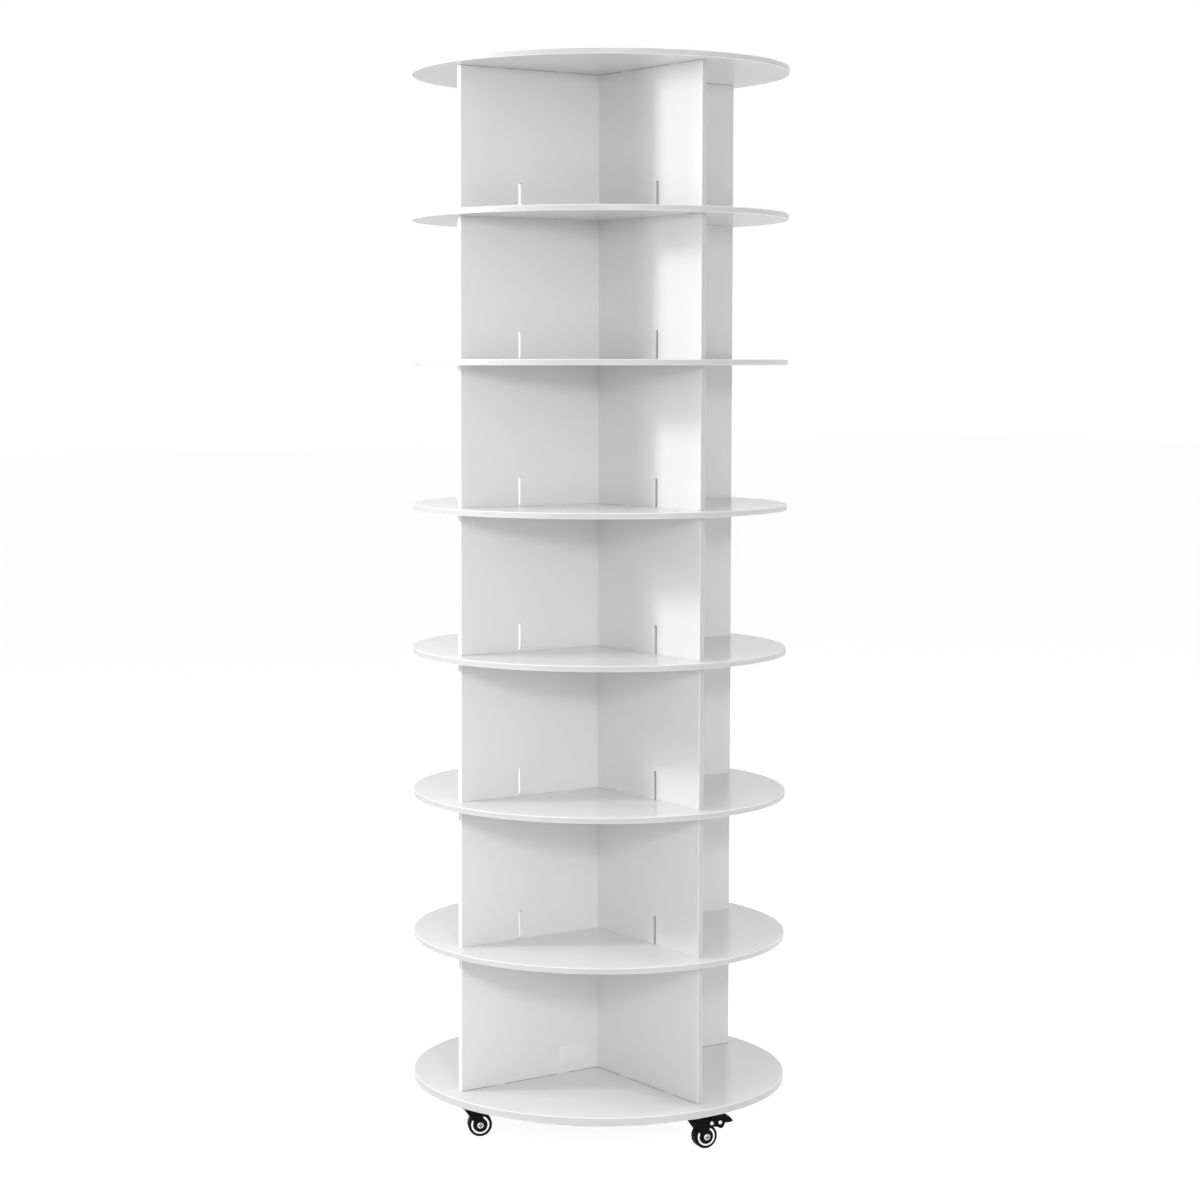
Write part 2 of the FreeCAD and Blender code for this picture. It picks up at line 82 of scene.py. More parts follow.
class Slot(str, Enum):
    """Material slots of the record."""

    WHITE_BOARD = "white_board"
    WHITE_PLASTIC = "white_plastic"
    LABEL = "label"
    ZINC_STEEL = "zinc_steel"
    RING_ALUMINIUM = "ring_aluminium"
    BEARING_STEEL = "bearing_steel"
    CAGE_PLASTIC = "cage_plastic"
    BLACK_STEEL = "black_steel"
    BRIGHT_STEEL = "bright_steel"
    BLACK_PLASTIC = "black_plastic"
    BLACK_RUBBER = "black_rubber"
    SILVER_RING = "silver_ring"


class Thickness(Enum):
    """The way a board's thickness runs."""

    ALONG_X = (1.0, 0.0, 0.0)
    ALONG_Y = (0.0, 1.0, 0.0)
    ALONG_Z = (0.0, 0.0, 1.0)


class Axis(Enum):
    """Axis that a turned shape goes round, in its sub-assembly's own axes."""

    ALONG_Y = "y"
    ALONG_Z = "z"


# ---- Surfaces ----
@dataclass(frozen=True)
class Shell:
    """Surface as points (n, 3) and arrays of faces, each array (m, corners)."""

    points: np.ndarray
    faces: tuple[np.ndarray, ...]


@dataclass(frozen=True)
class Place:
    """Where a sub-assembly's own axes lie: origin (3,) and turn (3, 3), whose columns are the axes."""

    origin: np.ndarray
    turn: np.ndarray

    def put(self, points: np.ndarray) -> np.ndarray:
        """Own coordinates (n, 3) in the model's frame: the origin plus each axis times its coordinate."""
        return points @ self.turn.T + self.origin


HERE = Place(np.zeros(3), np.eye(3))


def joined(shells: Sequence[Shell]) -> Shell:
    """Several shells as one, with each one's point numbers raised by the points before it.

    Args:
        shells: the shells in order.

    Returns:
        One shell with all their points and faces.
    """
    starts = np.cumsum([0] + [len(shell.points) for shell in shells[:-1]])
    faces = [face + start for shell, start in zip(shells, starts) for face in shell.faces]
    return Shell(np.concatenate([shell.points for shell in shells]), tuple(faces))


def grid_faces(rows: int, columns: int, wrap_rows: bool, wrap_columns: bool) -> np.ndarray:
    """Quads of a rows by columns grid of points.

    Args:
        rows: number of rows of points, which come first in the point order.
        columns: number of points in a row.
        wrap_rows: whether the last row joins the first.
        wrap_columns: whether each row's end joins its start.

    Returns:
        Point numbers (faces, 4).
    """
    row = np.arange(rows if wrap_rows else rows - 1)[:, None]
    column = np.arange(columns if wrap_columns else columns - 1)[None, :]
    next_row, next_column = (row + 1) % rows, (column + 1) % columns
    corners = (row * columns + column, row * columns + next_column,
               next_row * columns + next_column, next_row * columns + column)
    return np.stack(corners, axis=-1).reshape(-1, 4)


def rounded(corners: Sequence[tuple[float, float]], radii: Sequence[float], steps: int = 6) -> np.ndarray:
    """Closed outline with an arc at each corner, tangent to both sides.

    With unit vectors a and b towards the neighbours and t the angle between them, the arc's centre is the
    corner plus (a + b) scaled to length radius / sin(t / 2), and it touches each side at radius / tan(t / 2)
    from the corner.

    Args:
        corners: the outline's corners in order.
        radii: radius of each corner's arc.
        steps: points on each arc.

    Returns:
        Points (corners x steps, 2).
    """
    point = np.array(corners, float)
    radius = np.maximum(np.array(radii, float), SHARP)[:, None]
    back = np.roll(point, 1, axis=0) - point
    ahead = np.roll(point, -1, axis=0) - point
    back /= np.linalg.norm(back, axis=1, keepdims=True)
    ahead /= np.linalg.norm(ahead, axis=1, keepdims=True)
    half = np.arccos(np.clip((back * ahead).sum(1, keepdims=True), -1, 1)) / 2
    middle = (back + ahead) / np.linalg.norm(back + ahead, axis=1, keepdims=True)
    centre = point + middle * radius / np.sin(half)
    start = (point + back * radius / np.tan(half) - centre) / radius
    end = (point + ahead * radius / np.tan(half) - centre) / radius
    sweep = np.arctan2(start[:, 0] * end[:, 1] - start[:, 1] * end[:, 0], (start * end).sum(1))
    angle = sweep[:, None] * np.linspace(0, 1, steps)[None, :]
    side = np.stack([-start[:, 1], start[:, 0]], axis=1)
    arc = np.cos(angle)[..., None] * start[:, None, :] + np.sin(angle)[..., None] * side[:, None, :]
    return (centre[:, None, :] + radius[:, None, :] * arc).reshape(-1, 2)


def inset(outline: np.ndarray, distance: float) -> np.ndarray:
    """Outline moved inwards: each point goes along the mean of its two sides' inner normals, stretched by one
    over the cosine of half the turn, so that each side moves by distance.

    Args:
        outline: closed outline (n, 2).
        distance: how far each side moves.

    Returns:
        As many points (n, 2).
    """
    side = np.roll(outline, -1, axis=0) - outline
    side /= np.linalg.norm(side, axis=1, keepdims=True)
    area = (outline[:, 0] * np.roll(outline[:, 1], -1) - np.roll(outline[:, 0], -1) * outline[:, 1]).sum()
    normal = np.stack([-side[:, 1], side[:, 0]], axis=1) * np.sign(area)
    before = np.roll(normal, 1, axis=0)
    return outline + distance * (normal + before) / (1 + (normal * before).sum(1, keepdims=True))


def plate(outline: np.ndarray, low: float, high: float, edge: float, steps: int = 4) -> Shell:
    """Plate with its outline in X and Z and its thickness along Y, with rounded edges.

    Each row is the outline inset by edge x (1 - sin t) at the height edge x (1 - cos t) from a face, for the
    angle t from 0 to a quarter turn, first up from the low face and then to the high one.

    Args:
        outline: closed outline (n, 2).
        low: lower face on Y.
        high: upper face on Y.
        edge: radius of the rounded edges.
        steps: rows on each rounded edge.

    Returns:
        A closed shell.
    """
    turn = np.linspace(0, math.pi / 2, steps)
    insets = edge * (1 - np.sin(turn))
    heights = edge * (1 - np.cos(turn))
    across = np.concatenate([low + heights, high - heights[::-1]])
    rows = np.stack([inset(outline, distance) for distance in np.concatenate([insets, insets[::-1]])])
    level = np.broadcast_to(across[:, None], rows.shape[:2])
    points = np.stack([rows[..., 0], level, rows[..., 1]], axis=-1).reshape(-1, 3)
    count = len(outline)
    caps = np.stack([np.arange(count), np.arange(count) + count * (len(across) - 1)])
    return Shell(points, (grid_faces(len(across), count, False, True), caps))


def strip(path: Sequence[tuple[float, float]], thickness: float, bend: float) -> np.ndarray:
    """Outline of a bent sheet seen from its edge: the path moved half the thickness to each side.

    Args:
        path: middle line of the sheet, corner by corner.
        thickness: the sheet's.
        bend: radius of the outline's corners.

    Returns:
        Closed outline (n, 2).
    """
    line = np.array(path, float)
    side = np.diff(line, axis=0)
    side /= np.linalg.norm(side, axis=1, keepdims=True)
    normal = np.stack([-side[:, 1], side[:, 0]], axis=1)
    before = np.concatenate([normal[:1], normal])
    after = np.concatenate([normal, normal[-1:]])
    offset = thickness / 2 * (before + after) / (1 + (before * after).sum(1, keepdims=True))
    corners = np.concatenate([line + offset, (line - offset)[::-1]])
    radii = np.full(len(corners), bend)
    ends = [0, len(line) - 1, len(line), len(corners) - 1]
    radii[ends] = thickness * 0.45
    return rounded(corners, radii)


def turned(profile: np.ndarray, axis: Axis, segments: int, closed: bool = True) -> Shell:
    """Surface of revolution: each profile point (r, h) goes round a circle of radius r at height h.

    Args:
        profile: points (n, 2) of radius and height along the axis.
        axis: which own axis it turns about.
        segments: points round the circle.
        closed: whether the profile is a loop; otherwise it starts and ends on the axis.

    Returns:
        A closed shell.
    """
    angle = np.linspace(0, 2 * math.pi, segments, endpoint=False)
    first = profile[:, :1] * np.cos(angle)
    second = profile[:, :1] * np.sin(angle)
    height = np.broadcast_to(profile[:, 1:], first.shape)
    order = (first, height, second) if axis is Axis.ALONG_Y else (first, second, height)
    points = np.stack(order, axis=-1).reshape(-1, 3)
    return Shell(points, (grid_faces(len(profile), segments, closed, True),))


def mirrored(shell: Shell) -> Shell:
    """The shell on the other side of the Y = 0 plane, with its faces turned round so that they point out."""
    return Shell(shell.points * np.array([1.0, -1.0, 1.0]), tuple(face[:, ::-1] for face in shell.faces))


def shifted(shell: Shell, x: float = 0.0, y: float = 0.0, z: float = 0.0) -> Shell:
    """The shell moved by x, y and z."""
    return Shell(shell.points + np.array([x, y, z]), shell.faces)


def piece(name: str, shell: Shell, place: Place = HERE, crease: float = 40.0) -> bpy.types.Object:
    """Mesh object at the origin with the shell's points in the model's frame.

    Doubles are merged, which closes poles, and faces are made to point outwards.

    Args:
        name: the object's name.
        shell: the surface in its sub-assembly's own axes.
        place: where those axes lie.
        crease: angle in degrees past which an edge shades sharp.

    Returns:
        The new object, linked to the scene.
    """
    mesh = bpy.data.meshes.new(name)
    faces = [corners for array in shell.faces for corners in array.tolist()]
    mesh.from_pydata(place.put(shell.points).tolist(), [], faces)
    work = bmesh.new()
    work.from_mesh(mesh)
    bmesh.ops.remove_doubles(work, verts=work.verts, dist=SHARP)
    bmesh.ops.dissolve_degenerate(work, edges=work.edges, dist=SHARP)
    bmesh.ops.recalc_face_normals(work, faces=work.faces)
    work.to_mesh(mesh)
    work.free()
    mesh.polygons.foreach_set("use_smooth", np.ones(len(mesh.polygons), bool))
    mesh.set_sharp_from_angle(angle=math.radians(crease))
    made = bpy.data.objects.new(name, mesh)
    bpy.context.scene.collection.objects.link(made)
    return made


def points_of(thing: bpy.types.Object) -> np.ndarray:
    """The points of an object's mesh, (n, 3)."""
    flat = np.empty(len(thing.data.vertices) * 3, np.float32)
    thing.data.vertices.foreach_get("co", flat)
    return flat.reshape(-1, 3).astype(float)


# ---- Node trees ----
class Nodes:
    """Adds nodes to one node tree, with their sockets fed by name.

    Attributes:
        tree: the node tree.
        source: in a group, the sockets that it takes.
        result: in a group, the node that it puts its values out by.
    """

    def __init__(self, tree: bpy.types.NodeTree) -> None:
        """Keeps the tree."""
        self.tree = tree
        self.source: bpy.types.NodeOutputs | None = None
        self.result: bpy.types.Node | None = None

    def add(self, kind: str, sockets: dict | None = None, **settings: object) -> bpy.types.Node:
        """New node.

        Args:
            kind: Blender's name of the node type.
            sockets: value or output socket for each input, by name or number.
            settings: the node's own properties.

        Returns:
            The node.
        """
        node = self.tree.nodes.new(kind)
        for name, value in settings.items():
            setattr(node, name, value)
        for name, value in (sockets or {}).items():
            if isinstance(value, bpy.types.NodeSocket):
                self.tree.links.new(value, node.inputs[name])
            else:
                node.inputs[name].default_value = value
        return node

    def math(self, operation: str, first: object, second: object = 0.0) -> bpy.types.NodeSocket:
        """Result of a Math node on two values or sockets."""
        return self.add("ShaderNodeMath", {0: first, 1: second}, operation=operation).outputs[0]

    def remap(self, value: bpy.types.NodeSocket, low: float, high: float, to_low: object = 0.0,
              to_high: object = 1.0) -> bpy.types.NodeSocket:
        """Value from low to high as a value from to_low to to_high, held at both ends."""
        sockets = {"Value": value, "From Min": low, "From Max": high, "To Min": to_low, "To Max": to_high}
        return self.add("ShaderNodeMapRange", sockets).outputs["Result"]

    def blend(self, share: object, first: object, second: object) -> bpy.types.NodeSocket:
        """Colour between first and second by share."""
        node = self.add("ShaderNodeMix", {0: share, 6: first, 7: second}, data_type="RGBA")
        return node.outputs[2]

    def noise(self, vector: object, scale: object, detail: float = 2.0) -> bpy.types.NodeSocket:
        """Noise from 0 to 1 at a scale in cells per metre."""
        sockets = {"Vector": vector, "Scale": scale, "Detail": detail}
        return self.add("ShaderNodeTexNoise", sockets).outputs[0]


class Pattern(Enum):
    """Node groups that several finishes share."""

    FILM = "film"
    CUT_EDGE = "cut_edge"
    BRUSHED = "brushed"
    DUST = "dust"


def new_group(pattern: Pattern, inputs: dict[str, tuple[str, object]], outputs: Sequence[str]) -> Nodes:
    """Empty node group with named sockets.

    Args:
        pattern: which group it is.
        inputs: socket type and default value by name.
        outputs: names of its outputs, which are all values.

    Returns:
        Its nodes, with the Group Input and Group Output added.
    """
    group = bpy.data.node_groups.new(pattern.value, "ShaderNodeTree")
    for name, (kind, value) in inputs.items():
        socket = group.interface.new_socket(name, in_out="INPUT", socket_type=kind)
        if value is not None:
            socket.default_value = value
    for name in outputs:
        group.interface.new_socket(name, in_out="OUTPUT", socket_type="NodeSocketFloat")
    nodes = Nodes(group)
    nodes.source = nodes.add("NodeGroupInput").outputs
    nodes.result = nodes.add("NodeGroupOutput")
    return nodes


def film_group() -> None:
    """Moulded surface: Tone is a slow mottle, Gloss a finer one, and Height an orange peel, which is a share
    of noise at the peel's scale plus Waviness times the slow mottle."""
    peel_share = 0.12
    nodes = new_group(Pattern.FILM, {
        "Vector": ("NodeSocketVector", None),
        "Mottle Scale": ("NodeSocketFloat", 9.0),
        "Peel Scale": ("NodeSocketFloat", 420.0),
        "Waviness": ("NodeSocketFloat", 0.5),
    }, ("Tone", "Gloss", "Height"))
    vector = nodes.source["Vector"]
    tone = nodes.noise(vector, nodes.source["Mottle Scale"], 1.0)
    gloss_scale = nodes.math("MULTIPLY", nodes.source["Mottle Scale"], 3.0)
    gloss = nodes.noise(vector, gloss_scale, 1.0)
    peel = nodes.noise(vector, nodes.source["Peel Scale"], 2.0)
    slow = nodes.math("MULTIPLY", tone, nodes.source["Waviness"])
    height = nodes.math("ADD", nodes.math("MULTIPLY", peel, peel_share), slow)
    links = nodes.tree.links
    links.new(nodes.remap(tone, 0.3, 0.7), nodes.result.inputs["Tone"])
    links.new(nodes.remap(gloss, 0.3, 0.7), nodes.result.inputs["Gloss"])
    links.new(height, nodes.result.inputs["Height"])


def cut_edge_group() -> None:
    """Cut edge of a board: Mask is 1 where the surface's own normal lies across Axis, Corner is 1 on the
    rounding between face and edge, and Grain is a noise, as a saw leaves it."""
    nodes = new_group(Pattern.CUT_EDGE, {
        "Vector": ("NodeSocketVector", None),
        "Axis": ("NodeSocketVector", (0.0, 0.0, 1.0)),
        "Grain Scale": ("NodeSocketFloat", 900.0),
    }, ("Mask", "Corner", "Grain"))
    normal = nodes.add("ShaderNodeTexCoord").outputs["Normal"]
    along = nodes.add("ShaderNodeVectorMath", {0: normal, 1: nodes.source["Axis"]}, operation="DOT_PRODUCT")
    across = nodes.math("ABSOLUTE", along.outputs["Value"])
    grain = nodes.noise(nodes.source["Vector"], nodes.source["Grain Scale"], 3.0)
    links = nodes.tree.links
    links.new(nodes.remap(across, 0.75, 0.35), nodes.result.inputs["Mask"])
    corner = nodes.math("MULTIPLY", nodes.remap(across, 0.15, 0.4), nodes.remap(across, 0.98, 0.9))
    links.new(corner, nodes.result.inputs["Corner"])
    links.new(nodes.remap(grain, 0.3, 0.7), nodes.result.inputs["Grain"])


def brushed_group() -> None:
    """Metal finish: Streak is noise with its coordinates squeezed by Stretch, and Tone a slow mottle."""
    nodes = new_group(Pattern.BRUSHED, {
        "Vector": ("NodeSocketVector", None),
        "Stretch": ("NodeSocketVector", (1.0, 1.0, 1.0)),
        "Scale": ("NodeSocketFloat", 1500.0),
    }, ("Streak", "Tone"))
    squeezed = nodes.add("ShaderNodeVectorMath", {0: nodes.source["Vector"], 1: nodes.source["Stretch"]},
                         operation="MULTIPLY")
    streak = nodes.noise(squeezed.outputs[0], nodes.source["Scale"], 2.0)
    slow = nodes.math("MULTIPLY", nodes.source["Scale"], 0.15)
    tone = nodes.noise(nodes.source["Vector"], slow, 3.0)
    links = nodes.tree.links
    links.new(nodes.remap(streak, 0.3, 0.7), nodes.result.inputs["Streak"])
    links.new(nodes.remap(tone, 0.35, 0.65), nodes.result.inputs["Tone"])


def dust_group() -> None:
    """Dust: Mask is a broken noise, stronger where the surface's own normal points up, times Amount."""
    nodes = new_group(Pattern.DUST, {
        "Vector": ("NodeSocketVector", None),
        "Scale": ("NodeSocketFloat", 300.0),
        "Amount": ("NodeSocketFloat", 0.1),
    }, ("Mask",))
    normal = nodes.add("ShaderNodeTexCoord").outputs["Normal"]
    rise = nodes.add("ShaderNodeSeparateXYZ", {0: normal}).outputs["Z"]
    specks = nodes.noise(nodes.source["Vector"], nodes.source["Scale"], 5.0)
    settled = nodes.remap(rise, -0.2, 1.0, 0.35, 1.0)
    broken = nodes.math("MULTIPLY", nodes.remap(specks, 0.4, 0.7), settled)
    mask = nodes.math("MULTIPLY", broken, nodes.source["Amount"])
    nodes.tree.links.new(mask, nodes.result.inputs["Mask"])


def build_patterns() -> None:
    """Makes each shared node group once."""
    for build in (film_group, cut_edge_group, brushed_group, dust_group):
        build()


# ---- Finishes ----
def grey(level: float, warmth: float = 0.0) -> tuple[float, float, float, float]:
    """Linear grey as a colour, a little warmer for a warmth above 0."""
    return (level * (1 + warmth), level, level * (1 - warmth), 1.0)


def darker(color: tuple[float, float, float, float], share: float) -> tuple[float, float, float, float]:
    """The colour with its red, green and blue at a share of what they were."""
    return tuple(share * value for value in color[:3]) + (1.0,)


@dataclass(frozen=True)
class Finish:
    """A material with patterns in Object coordinates; each kind of finish adds its own nodes.

    Attributes:
        name: the material's name.
        color: base colour, linear.
        roughness: mean roughness.
    """

    name: str
    color: tuple[float, float, float, float]
    roughness: float

    def material(self) -> bpy.types.Material:
        """The finish's material, built on first use.

        Returns:
            The material that bears the finish's name.
        """
        found = bpy.data.materials.get(self.name)
        if found is None:
            found = bpy.data.materials.new(self.name)
            found.use_nodes = True
            found.diffuse_color = self.color
            found.node_tree.nodes.clear()
            nodes = Nodes(found.node_tree)
            shader = nodes.add("ShaderNodeBsdfPrincipled")
            nodes.add("ShaderNodeOutputMaterial", {"Surface": shader.outputs[0]})
            vector = nodes.add("ShaderNodeTexCoord").outputs["Object"]
            self.dress(nodes, shader, vector)
        return found

    def dress(self, nodes: Nodes, shader: bpy.types.Node, vector: bpy.types.NodeSocket) -> None:
        """Adds what feeds the shader.

        Args:
            nodes: of the material.
            shader: its Principled BSDF.
            vector: Object coordinates.
        """
        raise NotImplementedError

    def group(self, nodes: Nodes, pattern: Pattern, sockets: dict) -> bpy.types.NodeOutputs:
        """Places a shared node group.

        Args:
            nodes: of the material.
            pattern: which group it is.
            sockets: value or output socket for each input, by name.

        Returns:
            The sockets that it puts out.
        """
        node = nodes.add("ShaderNodeGroup", node_tree=bpy.data.node_groups[pattern.value])
        for name, value in sockets.items():
            if isinstance(value, bpy.types.NodeSocket):
                nodes.tree.links.new(value, node.inputs[name])
            else:
                node.inputs[name].default_value = value
        return node.outputs

    def bump(self, nodes: Nodes, shader: bpy.types.Node, height: bpy.types.NodeSocket, strength: float,
             distance: float) -> None:
        """Feeds the shader's normal with a bump.

        Args:
            nodes: of the material.
            shader: its Principled BSDF.
            height: from 0 to 1.
            strength: share of the bump that shows.
            distance: of its depth, in metres.
        """
        sockets = {"Strength": strength, "Distance": distance, "Height": height}
        nodes.tree.links.new(nodes.add("ShaderNodeBump", sockets).outputs[0], shader.inputs["Normal"])


@dataclass(frozen=True)
class BoardFinish(Finish):
    """White film on the faces of a board, duller banding on the cut edges, and a painted highlight on the
    rounded corners.

    Attributes:
        thickness: the way that the board's thickness runs.
        edge_color: of the banding, linear.
        rounding_highlight_color: painted highlight on the rounded corners between face and edge, linear.
        edge_roughness: of the banding.
        reflectance: the shader's specular level.
        grain_scale: cells of the grain per metre.
        grain_depth: of its grooves, in metres.
        grain_tone: share of the banding's colour that the grooves keep.
    """

    thickness: Thickness = Thickness.ALONG_Z
    edge_color: tuple[float, float, float, float] = grey(0.56)
    rounding_highlight_color: tuple[float, float, float, float] = grey(0.82)
    edge_roughness: float = 0.34
    reflectance: float = 0.35
    grain_scale: float = 1100.0
    grain_depth: float = 0.05 * MM
    grain_tone: float = 0.95

    def dress(self, nodes: Nodes, shader: bpy.types.Node, vector: bpy.types.NodeSocket) -> None:
        """Film on the faces, sawn grain on the edges, a painted highlight on the rounded corners between
        them.
        """
        shader.inputs["Specular IOR Level"].default_value = self.reflectance
        edge = self.group(nodes, Pattern.CUT_EDGE, {"Vector": vector, "Axis": self.thickness.value,
                                                    "Grain Scale": self.grain_scale})
        banding = nodes.blend(edge["Grain"], darker(self.edge_color, self.grain_tone), self.edge_color)
        flat = nodes.blend(edge["Mask"], self.color, banding)
        links = nodes.tree.links
        # The rounding between face and edge is painted lighter, as a highlight.
        links.new(nodes.blend(edge["Corner"], flat, self.rounding_highlight_color), shader.inputs["Base Color"])
        rough = nodes.remap(edge["Mask"], 0.0, 1.0, self.roughness, self.edge_roughness)
        links.new(rough, shader.inputs["Roughness"])
        self.bump(nodes, shader, nodes.math("MULTIPLY", edge["Grain"], edge["Mask"]), 0.2, self.grain_depth)


@dataclass(frozen=True)
class MouldedFinish(Finish):
    """Moulded plastic, rubber or coated sheet: a fine peel, a slow change of tone and gloss, and some dust.

    Attributes:
        peel_scale: cells of the peel per metre.
        peel_depth: of the peel, in metres.
        waviness: of the surface, as a share of the peel's depth.
        mottle_scale: patches of the mottle per metre.
        mottle: share of the colour that the darkest patches lose.
        spread: of the roughness, to either side.
        dust: share of dust where it lies thickest.
        dust_scale: specks of dust per metre.
        dust_color: linear.
        dust_roughness: what the dust adds to the roughness.
        reflectance: the shader's specular level.
    """

    peel_scale: float = 1600.0
    peel_depth: float = 0.05 * MM
    waviness: float = 0.3
    mottle_scale: float = 70.0
    mottle: float = 0.15
    spread: float = 0.05
    dust: float = 0.1
    dust_scale: float = 420.0
    dust_color: tuple[float, float, float, float] = grey(0.2, 0.05)
    dust_roughness: float = 0.5
    reflectance: float = 0.5

    def dress(self, nodes: Nodes, shader: bpy.types.Node, vector: bpy.types.NodeSocket) -> None:
        """Peel, gloss and dust."""
        film = self.group(nodes, Pattern.FILM, {"Vector": vector, "Mottle Scale": self.mottle_scale,
                                                "Peel Scale": self.peel_scale, "Waviness": self.waviness})
        dust = self.group(nodes, Pattern.DUST, {"Vector": vector, "Scale": self.dust_scale,
                                                "Amount": self.dust})["Mask"]
        shader.inputs["Specular IOR Level"].default_value = self.reflectance
        tone = nodes.blend(film["Tone"], darker(self.color, 1 - self.mottle), self.color)
        links = nodes.tree.links
        links.new(nodes.blend(dust, tone, self.dust_color), shader.inputs["Base Color"])
        smooth, dull = self.roughness - self.spread, self.roughness + self.spread
        gloss = nodes.remap(film["Gloss"], 0.0, 1.0, smooth, dull)
        settled = nodes.math("MULTIPLY", dust, self.dust_roughness)
        links.new(nodes.math("ADD", gloss, settled), shader.inputs["Roughness"])
        self.bump(nodes, shader, film["Height"], 0.5, self.peel_depth)


@dataclass(frozen=True)
class MetalFinish(Finish):
    """Plated or polished metal with fine streaks.

    Attributes:
        stretch: factors that squeeze the streaks along X, Y and Z.
        streak_scale: streaks per metre.
        streak_depth: of the streaks, in metres.
        tarnish: share of the colour that the dullest patches keep.
        spread: of the roughness, to either side.
    """

    stretch: tuple[float, float, float] = (1.0, 1.0, 1.0)
    streak_scale: float = 1500.0
    streak_depth: float = 0.01 * MM
    tarnish: float = 0.88
    spread: float = 0.06

    def dress(self, nodes: Nodes, shader: bpy.types.Node, vector: bpy.types.NodeSocket) -> None:
        """Streaks in colour, gloss and relief."""
        shader.inputs["Metallic"].default_value = 1.0
        brushed = self.group(nodes, Pattern.BRUSHED, {"Vector": vector, "Stretch": self.stretch,
                                                      "Scale": self.streak_scale})
        links = nodes.tree.links
        tone = nodes.blend(brushed["Tone"], darker(self.color, self.tarnish), self.color)
        links.new(tone, shader.inputs["Base Color"])
        smooth, dull = self.roughness - self.spread, self.roughness + self.spread
        links.new(nodes.remap(brushed["Streak"], 0.0, 1.0, smooth, dull), shader.inputs["Roughness"])
        self.bump(nodes, shader, brushed["Streak"], 0.4, self.streak_depth)


@dataclass(frozen=True)
class BoltFinish(MetalFinish):
    """Plated steel with painted shade: dark where the piece's own attribute, from 0 to 1, says that it is
    sunk, as the shade in a recess.
    """

    # colour of the painted shade in the recess
    recess_shade_color: tuple[float, float, float, float] = grey(0.04)

    def dress(self, nodes: Nodes, shader: bpy.types.Node, vector: bpy.types.NodeSocket) -> None:
        """Streaked metal, then the painted shade of the recess over it."""
        super().dress(nodes, shader, vector)
        metal = shader.inputs["Base Color"].links[0].from_socket
        sunk = nodes.add("ShaderNodeAttribute", attribute_name=RECESS_SHADE).outputs["Fac"]
        nodes.tree.links.new(nodes.blend(sunk, metal, self.recess_shade_color), shader.inputs["Base Color"])


def board_finish(thickness: Thickness) -> BoardFinish:
    """White board; the cut edges of the uprights along X are painted lighter, as the light that falls on
    their ends and slot walls.

    Args:
        thickness: the way that the board's thickness runs.

    Returns:
        The finish for it.
    """
    name = "white_board_" + thickness.name.lower()
    # Edges of boards thick along Y are painted lighter as light on them; the others keep the banding's tone.
    edge = grey(0.92 if thickness is Thickness.ALONG_Y else 0.56)
    return BoardFinish(name, grey(0.71), 0.18, thickness=thickness, edge_color=edge)


FINISHES: dict[Slot, Finish] = {
    Slot.WHITE_BOARD: board_finish(Thickness.ALONG_Z),
    Slot.WHITE_PLASTIC: MouldedFinish("moulded_white", grey(0.72), 0.35, mottle=0.0, spread=0.01, dust=0.0),
    Slot.LABEL: MouldedFinish("label_film", grey(0.745), 0.45, peel_scale=2600.0, peel_depth=0.01 * MM,
                              mottle=0.0, spread=0.01, dust=0.0),
    Slot.ZINC_STEEL: MetalFinish("zinc_plate", grey(0.62, -0.02), 0.34, streak_scale=900.0),
    Slot.RING_ALUMINIUM: MetalFinish("pressed_aluminium", grey(0.72), 0.36, stretch=(0.2, 0.2, 3.0)),
    Slot.BEARING_STEEL: MetalFinish("polished_balls", grey(0.6), 0.12, spread=0.03),
    Slot.CAGE_PLASTIC: MouldedFinish("moulded_cage", grey(0.72, 0.03), 0.45, dust=0.0),
    Slot.BLACK_STEEL: MouldedFinish("black_powder_coat", grey(0.003), 0.3, peel_scale=1300.0, dust=0.008,
                                    reflectance=0.06),
    Slot.BRIGHT_STEEL: BoltFinish("nickel_plate", grey(0.74), 0.24, streak_scale=2200.0, spread=0.04),
    Slot.BLACK_PLASTIC: MouldedFinish("moulded_black", grey(0.004), 0.3, dust=0.01, reflectance=0.12),
    Slot.BLACK_RUBBER: MouldedFinish("tread_rubber", grey(0.003), 0.45, peel_scale=2200.0, dust=0.012,
                                     reflectance=0.08),
    Slot.SILVER_RING: MetalFinish("polished_ring", grey(0.82), 0.2, streak_scale=1800.0, spread=0.04),
}


# Dark strips painted as the shadow in the gaps where the boards meet.
SEAM_SHADOW = MouldedFinish("seam_shadow", grey(0.02), 0.8, mottle=0.3, dust=0.0, reflectance=0.05)


def dress(thing: bpy.types.Object, finish: Finish) -> None:
    """Gives an object one finish in place of what it has."""
    thing.data.materials.clear()
    thing.data.materials.append(finish.material())


def ready(thing: bpy.types.Object, body: str, slot: Slot, *nodes: str, finish: Finish | None = None) -> None:
    """Dresses a new piece, sets it on its body and lets it stand for nodes of the frame.

    Args:
        thing: the piece.
        body: name of the body that it rides on.
        slot: its material slot.
        nodes: names of the nodes that it replaces.
        finish: its finish, where that isn't the slot's own.
    """
    dress(thing, finish or FINISHES[slot])
    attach(thing, body)
    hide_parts(*nodes)
    log.info("piece %s on %s: %d faces", thing.name, body, len(thing.data.polygons))


